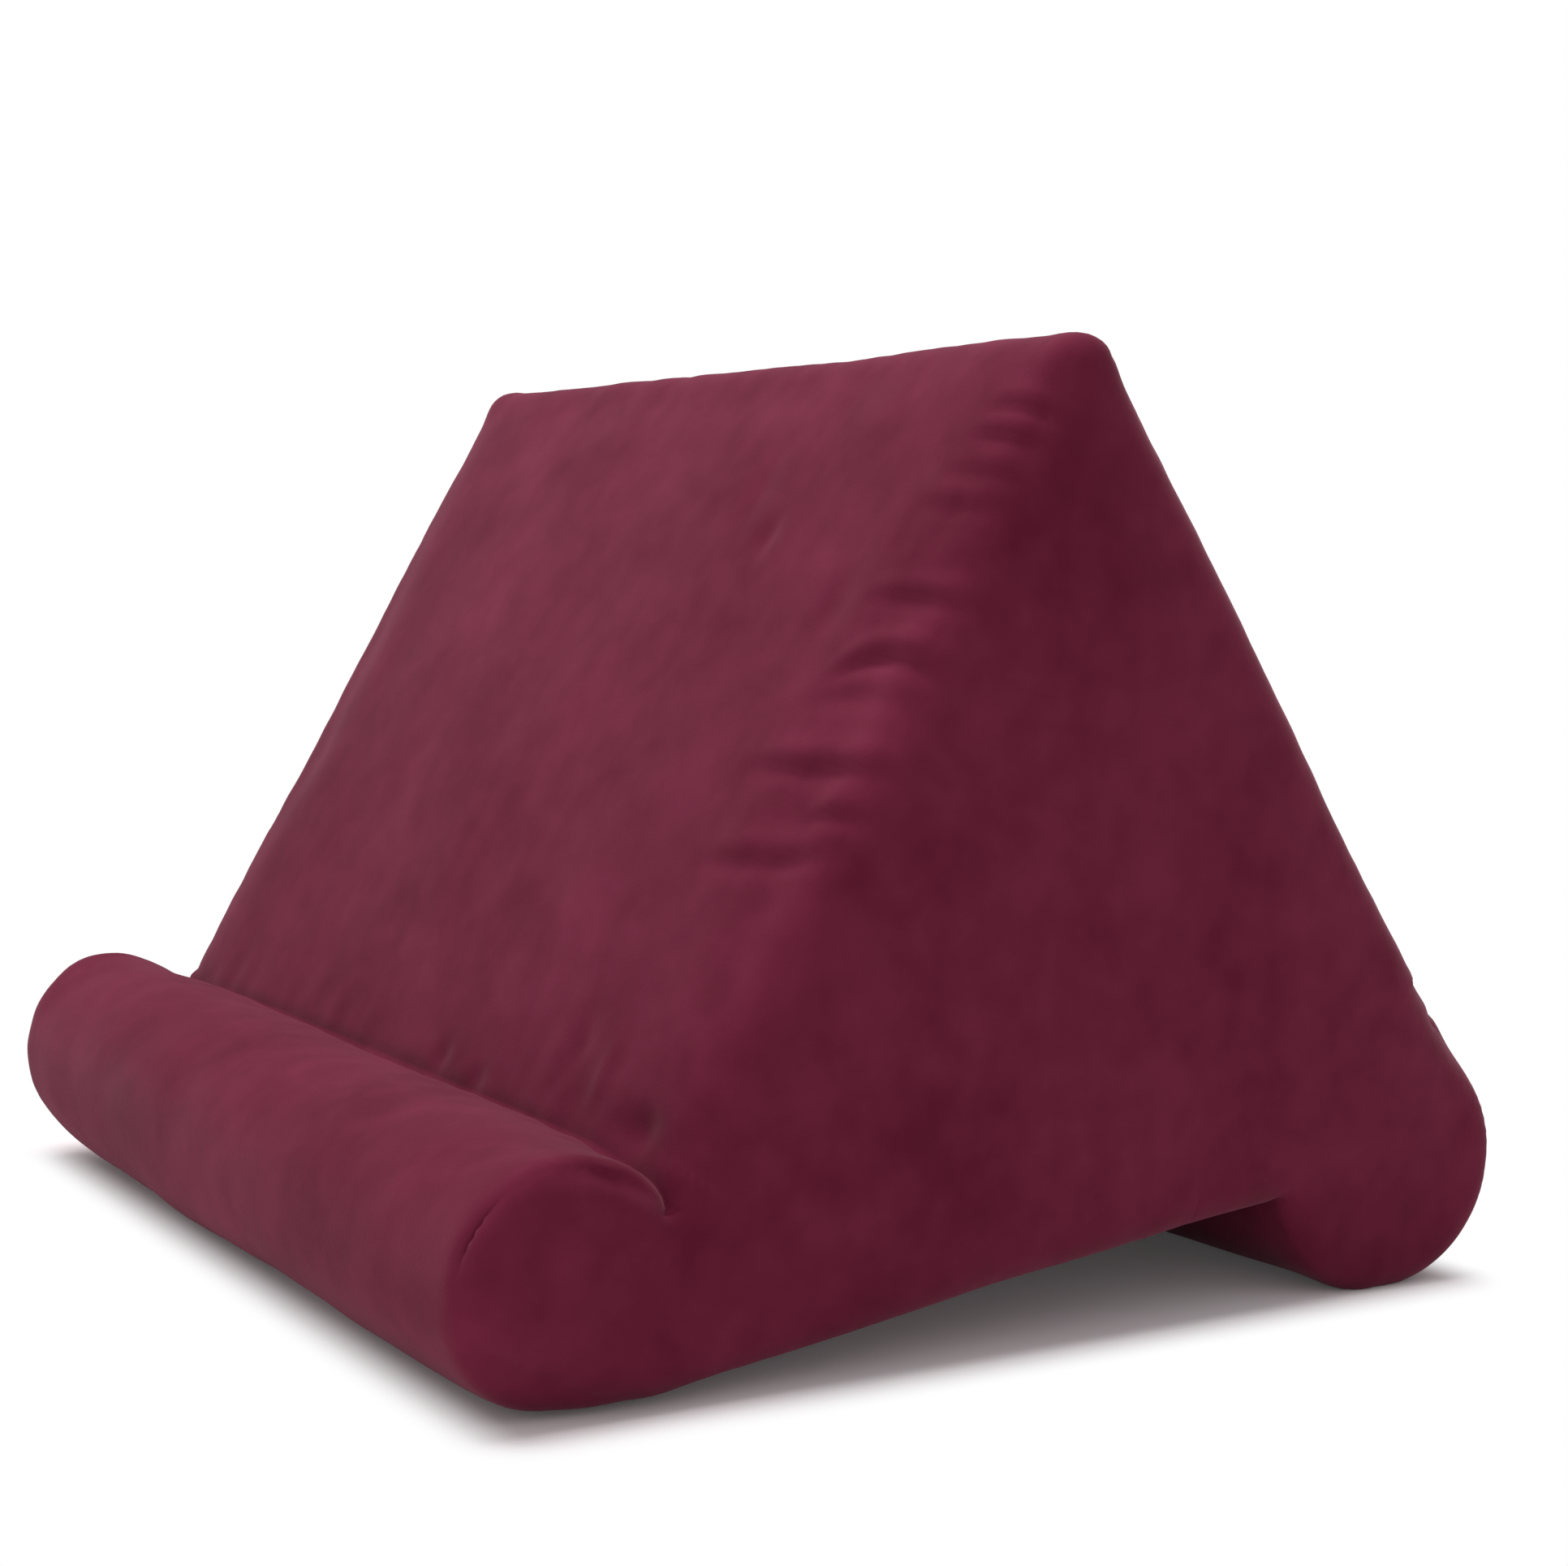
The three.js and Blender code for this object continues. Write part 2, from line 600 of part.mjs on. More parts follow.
// The slider: two plates round the coil, a post that parts the coils at its front end, which faces the top
// stops, side flanges, and a bridge for the pull
function slider() {
  const half = SLIDER_LENGTH / 2;
  const tail = SLIDER_HALF - SLIDER_TAIL_INSET;
  const straight = half - SLIDER_TAIL;
  const plan = [
    at(-half, -tail),
    at(-straight, -SLIDER_HALF),
    at(straight, -SLIDER_HALF),
    at(half, -tail),
    at(half, tail),
    at(straight, SLIDER_HALF),
    at(-straight, SLIDER_HALF),
    at(-half, tail),
  ];
  const weld = PLATE / 2;
  const outerTop = OUTER_PLATE_LEVEL + PLATE;
  const flangeTop = TAPE_LEVEL - FIT;
  const flange = (way) =>
    block(
      [-straight, straight],
      [way * SLIDER_HALF, way * (SLIDER_HALF - FLANGE)].sort((a, b) => a - b),
      [outerTop - weld, flangeTop],
    );
  const arm = BRIDGE_LENGTH / 2;
  const leg = arm - BRIDGE_BAR;
  const under = OUTER_PLATE_LEVEL - BRIDGE_OPENING;
  const bridge = slab(
    [
      at(-arm, OUTER_PLATE_LEVEL + weld),
      at(-arm, under - BRIDGE_BAR),
      at(arm, under - BRIDGE_BAR),
      at(arm, OUTER_PLATE_LEVEL + weld),
      at(leg, OUTER_PLATE_LEVEL + weld),
      at(leg, under),
      at(-leg, under),
      at(-leg, OUTER_PLATE_LEVEL + weld),
    ],
    -BRIDGE_WIDTH / 2,
    BRIDGE_WIDTH,
  ).rotateX(Math.PI / 2);
  const post = block(
    [-straight - POST_LENGTH / 2, -straight + POST_LENGTH / 2],
    [-POST / 2, POST / 2],
    [outerTop - weld, INNER_PLATE_LEVEL + weld],
  );
  const plates = [OUTER_PLATE_LEVEL, INNER_PLATE_LEVEL].map((level) => slab(plan, level, PLATE));
  return joined([...plates, flange(1), flange(-1), bridge, post]);
}

// The pull: a tab with a window, hung by its top bar in the bridge; z is 0 at the bar's middle
function pullTab() {
  const half = BRIDGE_WIDTH / 2 + FIT + PULL_RAIL;
  const bar = PULL_THICKNESS / 2;
  const windowHalf = BRIDGE_WIDTH / 2 + FIT;
  const windowEnd = Math.hypot(BRIDGE_LENGTH / 2, BRIDGE_OPENING / 2 + BRIDGE_BAR) + FIT;
  const tab = new THREE.Shape();
  tab.moveTo(-half, bar);
  tab.lineTo(-half, PULL_CORNER - PULL_LENGTH);
  tab.absarc(PULL_CORNER - half, PULL_CORNER - PULL_LENGTH, PULL_CORNER, Math.PI, 1.5 * Math.PI);
  tab.absarc(half - PULL_CORNER, PULL_CORNER - PULL_LENGTH, PULL_CORNER, -Math.PI / 2, 0);
  tab.lineTo(half, bar);
  const window = [at(-windowHalf, -bar), at(windowHalf, -bar), at(windowHalf, -windowEnd), at(-windowHalf, -windowEnd)];
  tab.holes.push(new THREE.Path(window));
  const flat = new THREE.ExtrudeGeometry(tab, { depth: PULL_THICKNESS, bevelEnabled: false, curveSegments: 4 });
  return flat.translate(0, 0, -PULL_THICKNESS / 2).rotateX(Math.PI / 2).rotateZ(Math.PI / 2);
}

// Finishes
const finish = (color, roughness, metalness) => new THREE.MeshStandardMaterial({ color, roughness, metalness });
const pile = finish(0x76354a, 0.9, 0);
const lining = finish(0x5c2233, 0.95, 0);
const foam = finish(0xe9e4d6, 0.95, 0);
const batting = finish(0xf1efe9, 1, 0);
const sewing = finish(0x64283a, 0.7, 0);
const tapeCloth = finish(0x5a2134, 0.85, 0);
const nylon = finish(0x4f1c2d, 0.5, 0);
const metal = finish(0x8a8580, 0.35, 1);

const stand = new THREE.Group();

function add(name, geometry, material, parent = stand) {
  const mesh = new THREE.Mesh(geometry, material);
  mesh.name = name;
  parent.add(mesh);
  return mesh;
}

// Cover
const bothSeams = { start: true, end: true };
add("front_panel", panel(frontLine, bothSeams), pile);
add("back_panel", panel(backLine, bothSeams), pile);
add("foot_panel", panel(footLine, bothSeams), pile);
add("base_panel", panel(baseLine, { start: true, end: false }), pile);
add("ledge_panel", panel(ledgeLine, { start: false, end: true }), pile);
add("left_side_panel", sidePanel(-1), pile);
add("right_side_panel", sidePanel(1), pile);

// Inside the cover
add("ledge_divider", divider(ledgeWeb), lining);
add("foot_divider", divider(footWeb), lining);
add("wedge_foam", filling(wedgeRing), foam);
add("wedge_wadding", loft(stations.map((x) => ({ x, ring: waddingRing(x) })), true), batting);
add("ledge_filling", filling(ledgeFilling), batting);
add("foot_filling", filling(footFilling), batting);

// Threads
add("left_seam_thread", seamThread(-SEAM_X), sewing);
add("right_seam_thread", seamThread(SEAM_X), sewing);
add("trough_seam_thread", crossThread((x) => troughAt(midFabric(x))), sewing);
add("top_seam_thread", crossThread((x) => topAt(midFabric(x)).end), sewing);
add("heel_seam_thread", crossThread((x) => heelAt(midFabric(x))), sewing);
add("arch_seam_thread", crossThread((x) => archAt(midFabric(x))), sewing);
add("zip_stitch_front", crossThread((x) => underside(-stitchWay, stitchLevel(x))), sewing);
add("zip_stitch_rear", crossThread((x) => underside(stitchWay, stitchLevel(x))), sewing);

// Zip
add("zip_tape_front", tape(-1), tapeCloth);
add("zip_tape_rear", tape(1), tapeCloth);

const zip = new THREE.Group();
zip.position.set(0, zipMiddle.x, zipMiddle.y);
zip.rotation.x = undersideSlope;
stand.add(zip);

const rowEdge = SLIT_HALF + COIL_WIDTH;
add("zip_coil_front", coil(-1), nylon, zip);
add("zip_coil_rear", coil(1), nylon, zip);
add("zip_bottom_stop", stop(1, -rowEdge, rowEdge), metal, zip);
add("zip_top_stop_front", stop(-1, -rowEdge, -SLIT_HALF), metal, zip);
add("zip_top_stop_rear", stop(-1, SLIT_HALF, rowEdge), metal, zip);
add("zip_slider", slider(), metal, zip).position.x = -SLIDER_HOME;
add("zip_pull", pullTab(), metal, zip).position.set(-SLIDER_HOME, 0, PULL_LEVEL);

export default stand;
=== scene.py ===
# Tablet cushion stand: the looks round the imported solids.
# Metres, +X along the ledge roll, +Y to the back, +Z up.
import math
from collections import namedtuple
from contextlib import contextmanager

import bmesh
import bpy
import numpy as np
from mathutils import Matrix, Vector, bvhtree, geometry, kdtree, noise
from numpy.linalg import norm


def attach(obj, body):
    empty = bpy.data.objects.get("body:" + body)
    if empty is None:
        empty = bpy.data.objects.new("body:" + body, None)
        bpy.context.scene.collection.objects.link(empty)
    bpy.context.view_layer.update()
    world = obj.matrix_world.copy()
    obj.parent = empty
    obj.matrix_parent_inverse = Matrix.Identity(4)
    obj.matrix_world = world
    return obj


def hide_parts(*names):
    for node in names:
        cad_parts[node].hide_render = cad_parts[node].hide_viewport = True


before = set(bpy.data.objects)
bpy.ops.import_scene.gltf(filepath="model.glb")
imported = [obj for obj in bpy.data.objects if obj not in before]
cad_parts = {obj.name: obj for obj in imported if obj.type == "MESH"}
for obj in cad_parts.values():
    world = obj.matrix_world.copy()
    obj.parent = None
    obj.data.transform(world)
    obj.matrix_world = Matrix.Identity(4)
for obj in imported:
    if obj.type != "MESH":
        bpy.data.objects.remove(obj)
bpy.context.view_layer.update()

MM = 0.001

# Camera, fitted to the photograph's outline
CAMERA_AZIMUTH = 57.43
CAMERA_ELEVATION = 4.84
CAMERA_ROLL = 1.46
CAMERA_DISTANCE = 0.64893
CAMERA_LENS = 60.82
SENSOR_WIDTH = 36
AIM_RIGHT = 0.01702
AIM_HEIGHT = 0.10613

# Side view in millimetres, as the solids have it
HALF_WIDTH = 135
DEPTH = 265
HEIGHT = 206
LEDGE_RADIUS = 25.5
FOOT_RADIUS = 33
TOP_RADIUS = 9
TOP_SETBACK = 140
TROUGH_ANGLE = 41.2
HEEL_ANGLE = 59.2
ARCH_ANGLE = 195.3
TABLE_FLAT = 0.5
ZIP_FROM_ARCH = 26
ZIP_OPENING = 14
ZIP_CLOSED = 1
ZIP_CLOSES = (118, 127)

# Stuffed shape in millimetres
EDGE_RADIUS = 10.5
SEAM_X = 131.4
SEAM_PULL = EDGE_RADIUS - math.sqrt(EDGE_RADIUS ** 2 - (SEAM_X + EDGE_RADIUS - HALF_WIDTH) ** 2)
FACE_CROWN = 1.8
CLOTH = 1.2
LEAST_TOP_RADIUS = 2

# The ledge roll's ends are drawn in further at their lower front
CAP_TUCK = 5.8
CAP_TUCK_ANGLE = 238
CAP_TUCK_SPREAD = 42
CAP_TUCK_POWER = 1.5

# Squarer edges. Along the underside: how square they are, from 0 to 1, at the ends of the side view's
# stretches, clockwise from the trough. At the ledge roll's ends: angle round the roll and spread in degrees
SQUARE_RADIUS = 4.5
SQUARE_AT = (0, 0, 0, 0, 0, 0.6, 1, 0.6, 0.6, 0.6, 0.2, 0)
LEFT_SQUARE = (105, 50)
RIGHT_SQUARE = (170, 80)

# How the stuffing lies: the ledge roll's ends turn up, the left-hand one is shorter, the roll's top sags,
# the top edge is fuller at its right-hand end, the trough and the heel are filled out, and the foot roll
# bulges forward between its ends
LEFT_LIFT = 6
RIGHT_LIFT = 3.2
END_LIFT_POWER = 5
LIFT_LOST_AT_TOP = 0.6
LEFT_END_IN = 7
LEDGE_BEGINS = -85
TOP_RISE = 2.8
ROLL_SAG = 1.6
SAG_X = 40
SAG_SPREAD = 75
TROUGH_FILL = 3
TROUGH_FILL_ENDS = (102, 122)
HEEL_FILL = 2
FILL_REACH = 8
FOOT_BULGE = 5
FOOT_BULGE_ANGLE = 238
FOOT_BULGE_SPREAD = 45
FOOT_BULGE_POWER = 4
FOOT_BULGE_MARGIN = 1

# Grid of the cover in millimetres: places beside the side seams, and rows of points inside them. A point
# of a row stays if it keeps this share of its depth, and the lattice begins this share of the grid further in
GRID = 3.2
EDGE_SPACING = (0, 1.2, 2.8, 4.8, 7.2, 10.0)
SIDE_ROWS = (1.3, 3.0, 5.2)
ROW_LEAST = 0.9
LATTICE_GAP = 0.6

# How points are joined up to triangles
INSIDE_ONLY = 1
SAME_POINT = 1e-5

# Swelling of the cover
PRESSURE = 4
SWELL_FRAMES = 20
SWELL_OUT = 2.0
SWELL_IN = 0.4
SWELL_SMOOTHING = 12

# How sharp the seams stay when the cover is refined, from 0 to 1
SIDE_CREASE = 0.5
CROSS_CREASE = 0.7

# Layers of the noise after those of the lumps, so that no two forms share one
LAYER_STEP = 31.7
STRENGTH_LAYER = 3
PUCKER_LAYER = 5
GATHER_LAYER = 9
RIPPLE_LAYER = 12

# Seams: groove, and puckers beside it that are stronger and weaker along the seam, in millimetres
GROOVE = 0.4
SIDE_GROOVE = 0.1
GROOVE_WIDTH = 1.3
GROOVE_POWER = 1.5
PUCKER = 0.36
PUCKER_LENGTH = 6.5
PUCKER_REACH = 4.5
LEAST_STRENGTH = 0.6
MORE_STRENGTH = 0.8
STRENGTH_LENGTH = 60
STITCH_LENGTH = 2.6
STITCH_PITCH = 3.2
THREAD_RADIUS = 0.25
SEAM_THREAD_SINK = 0.6
ZIP_THREAD_SINK = 0.05

# Side seams round the ledge roll's ends: a groove above, and a pinched lip by the trough, each with its
# angle round the roll and its spread in degrees; the lip rises on the roll and falls past the seam
CAP_GROOVE = 1.5
CAP_GROOVE_ANGLE = 146
CAP_GROOVE_SPREAD = 22
CAP_GROOVE_WIDTH = 1.3
PINCH = 0.9
PINCH_ANGLE = 70
PINCH_SPREAD = 26
PINCH_WIDTH = 2.0
PINCH_RISE = 0.7
PINCH_FALL = -1.0

# Fillings: size of the mesh, how far they stay under the cover, in millimetres, and rounds of smoothing
FILLING_VOXEL = 4.0
FILLING_GAP = 3.0
FILLING_SMOOTHING = 4

# Webs and zip, in millimetres and degrees
LINING_RIPPLE = 0.15
LINING_RIPPLE_LENGTH = 21
LINING_CUTS = 2
TAPE_CUTS = 1
STITCH_FROM_EDGE = 3
SLIT_HALF = 0.5
COIL_WIDTH = 2.6
COIL_LEVEL = 0.4
COIL_HEIGHT = 1.9
COIL_WIRE = 0.32
COIL_PITCH = 1.25
COIL_SLANT = 12
CHAIN_HALF = 115.9
METAL_BEVEL = 0.22
METAL_FLAT_ANGLE = 1
METAL_SMOOTH_ANGLE = 40

# Unevenness of the stuffing: (size of the lumps, height), in millimetres
LUMPS = ((55, 0.8), (21, 0.3))

# Pile: colours of the nap, how many marks there are in a metre, and the fibres' height in millimetres
DARK_NAP = (0.096, 0.0086, 0.0244, 1)
PALE_NAP = (0.143, 0.0168, 0.041, 1)
SHEEN_TINT = (1, 0.62, 0.72, 1)
BRUSHED_SCALE = 26
BLOTCH_SCALE = 110
FIBRE_SCALE = 2200
FIBRE_RELIEF = 0.3

# Mottled materials: finer grains on each lump
GRAINS_PER_LUMP = 7

# Floor: to the camera, a painted white glow covers its shading and fades in between these distances, in
# metres, from a little inside the cushion's outline, so that the cushion's shadow stops there; a least share
# of the glow lightens the shadow under the cushion too
FLOOR_SIZE = 8
# The floor's pink tint is painted bounce light from the red cushion; it shows where the cushion's shadow
# falls
FLOOR_COLOUR_PAINTED_BOUNCE = (0.95, 0.88, 0.9, 1)
FLOOR_INSET = (0.004, 0.0168)
FLOOR_FADE = (0, 0.018)
LEAST_PAINTED_GLOW = 0.035

# Lights: one soft lamp above, in watts and metres, and an even surround
LAMP_POWER = 14
LAMP_SIZE = 0.7
LAMP_PLACE = (-0.12, -0.12, 1.2)
LAMP_AIM = (0, 0, 0.08)
SURROUND = 0.57
WHITE = (1, 1, 1, 1)

# Cover panels, their numbers, and the filling that each lies on
PANELS = ("front_panel", "back_panel", "foot_panel", "base_panel", "ledge_panel", "left_side_panel",
          "right_side_panel")
FRONT, BACK, FOOT, BASE, LEDGE, LEFT, RIGHT, ZIP_GAP = range(8)
LIES_ON = ("wadding_layer", "wadding_layer", "foot_fibre", "foam_core", "ledge_fibre", "foam_core",
           "foam_core")

# Creases of the rest face, near its right-hand seam: place (x, up the face), half length, bend, depth and
# width. They slope up towards the seam, less so higher up, and each has a ridge above it, whose place and
# width are told in widths of the crease
Fold = namedtuple("Fold", "x up half bend depth width")
FOLD_TILT = 0.33
FOLD_LEVEL = 157
RIDGE = 0.8
RIDGE_PLACE = 2
RIDGE_WIDTH = 1.3
FOLDS = (
    Fold(123, 126.5, 13, 0, 1.0, 2.0),
    Fold(124, 113.5, 15, -0.02, 1.4, 2.2),
    Fold(118, 104, 14, -0.008, 0.6, 2.4),
    Fold(117, 87.5, 20, 0.002, 1.2, 2.2),
    Fold(113, 66.2, 17, 0.004, 1.0, 2.4),
    Fold(127, 79.0, 6, 0, 0.8, 1.6),
    Fold(126, 164, 9, 0, 0.9, 1.7),
    Fold(127, 171, 8, 0, 0.9, 1.7),
    Fold(120, 147, 11, 0.01, 0.7, 2.2),
    Fold(124, 155, 8, 0.01, 0.5, 1.8),
)

# Dents of the rest face: place (x, up the face), half length across, half length along, and depth
Dent = namedtuple("Dent", "x up across along depth")
DENTS = (
    Dent(59, 140, 3.5, 4.5, 1.0),
    Dent(47, 150, 5, 9, 0.6),
    Dent(98, 124, 5, 7, 0.8),
    Dent(111, 140, 3.5, 4, 0.6),
    Dent(127, 134, 3, 3, 0.5),
    Dent(115, 9, 6, 5, 2.2),
    Dent(29, 8, 3.5, 3, 0.9),
    Dent(49, 6.5, 3.5, 3, 0.9),
    Dent(82, 20, 4, 8, 1.0),
    Dent(95.7, 16.4, 3, 7, -0.8),
)

# Gathers of the rest face above the trough
GATHER = 0.55
GATHER_WIDTH = 8
GATHER_RISE = 11
GATHER_X = 88
GATHER_SPREAD = 24
GATHER_STRETCH = 6

# Where the rest face's forms fade out towards the sides
FADE_PAST = 2
FADE_WIDTH = 8


# Side view: points are (y, z) pairs
Face = namedtuple("Face", "normal along offset")
Roll = namedtuple("Roll", "centre radius")


def polar(angle):
    return np.array([math.cos(angle), math.sin(angle)])


def angle_of(start, end):
    return math.atan2(end[1] - start[1], end[0] - start[0])


def face_through(point, normal_angle):
    normal = polar(normal_angle)
    return Face(normal, np.array([normal[1], -normal[0]]), float(normal @ point))


def at_depth(face, depth):
    return face._replace(offset=face.offset - depth)


def meet(first, second):
    return np.linalg.solve(np.array([first.normal, second.normal]), np.array([first.offset, second.offset]))


def meet_roll(face, roll, depth, way):
    distance = face.offset - face.normal @ roll.centre
    half = math.sqrt((roll.radius - depth) ** 2 - distance ** 2)
    return roll.centre + face.normal * distance + face.along * (way * half)


def roll_point(roll, degrees):
    return roll.centre + polar(math.radians(degrees)) * roll.radius


ledge = Roll(np.array([LEDGE_RADIUS - DEPTH / 2, LEDGE_RADIUS - TABLE_FLAT]), LEDGE_RADIUS)
foot = Roll(np.array([DEPTH / 2 - FOOT_RADIUS, FOOT_RADIUS - TABLE_FLAT]), FOOT_RADIUS)
top_centre = np.array([TOP_SETBACK - DEPTH / 2, HEIGHT - TOP_RADIUS])
top_edge = Roll(top_centre, TOP_RADIUS)
trough = roll_point(ledge, TROUGH_ANGLE)
heel = roll_point(foot, HEEL_ANGLE)
arch = roll_point(foot, ARCH_ANGLE)


def face_from(point, side):
    """The face from a point to the top edge; side is 1 in front and -1 behind."""
    turn = math.asin(TOP_RADIUS / norm(top_centre - point))
    return face_through(point, angle_of(point, top_centre) + side * (turn + math.pi / 2))


table = face_through(np.zeros(2), -math.pi / 2)
rest_face = face_from(trough, 1)
back_face = face_from(heel, -1)
base_turn = math.acos(LEDGE_RADIUS / norm(arch - ledge.centre))
base_face = face_through(arch, angle_of(ledge.centre, arch) - base_turn)
zip_middle = arch + base_face.along * ZIP_FROM_ARCH


def underside_at(back, depth):
    return zip_middle - base_face.along * back - base_face.normal * depth


def line(start, end, normal, crown, steps):
    share = np.linspace(0, 1, steps + 1)[:, None]
    return start + (end - start) * share + normal * (crown * np.sin(math.pi * share))


def arc(centre, start, end, steps):
    radius = norm(start - centre)
    first = angle_of(centre, start)
    turn = angle_of(centre, end) - first
    if turn > 0:
        turn -= 2 * math.pi
    return np.array([centre + radius * polar(first + turn * step / steps) for step in range(steps + 1)])


def steps_for(length):
    return max(2, round(length / GRID))


FACE_STEPS = steps_for(norm(top_centre - trough))
BACK_STEPS = steps_for(norm(top_centre - heel))
TOP_STEPS = 6
FOOT_REAR_STEPS = steps_for(FOOT_RADIUS * math.radians(HEEL_ANGLE + 90))
FOOT_FRONT_STEPS = steps_for(FOOT_RADIUS * math.radians(270 - ARCH_ANGLE))
BASE_STEPS = steps_for(ZIP_FROM_ARCH - ZIP_OPENING / 2)
ZIP_STEPS = steps_for(ZIP_OPENING)
UNDER_STEPS = steps_for(norm(zip_middle - ledge.centre))
LEDGE_STEPS = steps_for(LEDGE_RADIUS * math.radians(270 - TROUGH_ANGLE))
FLAT_STEPS = 3


def side_view(depth, crown, opening=ZIP_OPENING):
    """Stretches of the cover in the side view at a depth, clockwise from the trough, each with its panel."""
    trough_now = meet_roll(at_depth(rest_face, depth), ledge, depth, 1)
    heel_now = meet_roll(at_depth(back_face, depth), foot, depth, -1)
    arch_now = meet_roll(at_depth(base_face, depth), foot, depth, 1)
    radius = max(TOP_RADIUS - depth, LEAST_TOP_RADIUS)
    top = meet(at_depth(rest_face, depth + radius), at_depth(back_face, depth + radius))
    top_start = top + rest_face.normal * radius
    top_end = top + back_face.normal * radius
    floor = at_depth(table, depth)
    foot_rear = meet_roll(floor, foot, depth, -1)
    foot_front = meet_roll(floor, foot, depth, 1)
    ledge_rear = meet(at_depth(base_face, depth), floor)
    ledge_front = meet_roll(floor, ledge, depth, 1)
    zip_rear = underside_at(opening / 2, depth)
    zip_front = underside_at(-opening / 2, depth)
    return [
        (FRONT, line(trough_now, top_start, rest_face.normal, crown, FACE_STEPS)),
        (FRONT, arc(top, top_start, top_end, TOP_STEPS)),
        (BACK, line(top_end, heel_now, back_face.normal, crown, BACK_STEPS)),
        (FOOT, arc(foot.centre, heel_now, foot_rear, FOOT_REAR_STEPS)),
        (FOOT, line(foot_rear, foot_front, table.normal, 0, FLAT_STEPS)),
        (FOOT, arc(foot.centre, foot_front, arch_now, FOOT_FRONT_STEPS)),
        (BASE, line(arch_now, zip_rear, base_face.normal, 0, BASE_STEPS)),
        (ZIP_GAP, line(zip_rear, zip_front, base_face.normal, 0, ZIP_STEPS)),
        (LEDGE, line(zip_front, ledge_rear, base_face.normal, 0, UNDER_STEPS)),
        (LEDGE, line(ledge_rear, ledge_front, table.normal, 0, FLAT_STEPS)),
        (LEDGE, arc(ledge.centre, ledge_front, trough_now, LEDGE_STEPS)),
    ]


def ring_at(depth, crown, opening=ZIP_OPENING):
    """The side view at a depth as one closed ring."""
    return np.concatenate([points[:-1] for _, points in side_view(depth, crown, opening)])


def edge_drop(x, radius=EDGE_RADIUS):
    """How far the rounded edge lies below the faces at x."""
    past = max(0, abs(x) + radius - HALF_WIDTH)
    return radius - math.sqrt(radius ** 2 - past ** 2)


def side_swell(distance):
    """How far a side panel stands out from its seam, at a distance from the seam."""
    below = np.maximum(EDGE_RADIUS - SEAM_PULL - distance, 0)
    return HALF_WIDTH - EDGE_RADIUS + np.sqrt(EDGE_RADIUS ** 2 - below ** 2) - SEAM_X


def round_ledge(ring, angle, spread):
    """How near a ring's points are to an angle round the ledge roll, from 0 to 1."""
    out = ring - ledge.centre
    turn = np.degrees(np.arctan2(out[:, 1], out[:, 0])) % 360
    on_roll = np.abs(norm(out, axis=1) - LEDGE_RADIUS) < EDGE_RADIUS
    return (np.exp(-((turn - angle) / spread) ** 2) * on_roll)[:, None]


def rim_ring(x, crown):
    """The cover's ring at x, with its drawn-in edge."""
    drop = edge_drop(x)
    opening = np.interp(abs(x), ZIP_CLOSES, (ZIP_OPENING, ZIP_CLOSED))
    ring = ring_at(drop, crown, opening)
    stretches = zip(SQUARE_AT, SQUARE_AT[1:], side_view(0, 0))
    shares = [np.linspace(start, end, len(points))[:-1] for start, end, (_, points) in stretches]
    roll_end = round_ledge(ring, *(LEFT_SQUARE if x < 0 else RIGHT_SQUARE))
    share = np.maximum(np.concatenate(shares)[:, None], roll_end)
    ring = ring + (ring_at(edge_drop(x, SQUARE_RADIUS), crown, opening) - ring) * share
    inward = ledge.centre - ring
    inward /= norm(inward, axis=1)[:, None]
    tuck = CAP_TUCK * (drop / SEAM_PULL) ** CAP_TUCK_POWER
    return ring + inward * round_ledge(ring, CAP_TUCK_ANGLE, CAP_TUCK_SPREAD) * tuck


def across():
    """Places across the width, closer together towards the side seams."""
    edge = [SEAM_X - space for space in EDGE_SPACING]
    steps = 2 * round(edge[-1] / GRID)
    middle = np.linspace(-edge[-1], edge[-1], steps + 1)[1:-1]
    return np.array([-x for x in edge] + list(middle) + edge[::-1])


def edge_distance(points, ring):
    """Distance of each point to a closed ring."""
    ends = np.roll(ring, -1, axis=0)
    runs = ends - ring
    gaps = points[:, None] - ring[None]
    shares = np.clip((gaps * runs).sum(-1) / (runs ** 2).sum(-1), 0, 1)
    return norm(gaps - shares[..., None] * runs, axis=-1).min(1)


def inside_ring(points, ring):
    ends = np.roll(ring, -1, axis=0)
    above = (ring[None, :, 1] > points[:, None, 1]) != (ends[None, :, 1] > points[:, None, 1])
    rise = np.where(ends[:, 1] == ring[:, 1], 1, ends[:, 1] - ring[:, 1])
    cross = ring[:, 0] + (points[:, None, 1] - ring[:, 1]) * ((ends - ring)[:, 0] / rise)
    return ((points[:, None, 0] < cross) & above).sum(1) % 2 == 1


def inset(ring, depth):
    """A clockwise ring's points moved inwards, without those that come too near to the ring elsewhere."""
    along = np.roll(ring, -1, axis=0) - np.roll(ring, 1, axis=0)
    along /= norm(along, axis=1)[:, None]
    inner = ring + np.stack([along[:, 1], -along[:, 0]], 1) * depth
    return inner[edge_distance(inner, ring) > ROW_LEAST * depth]


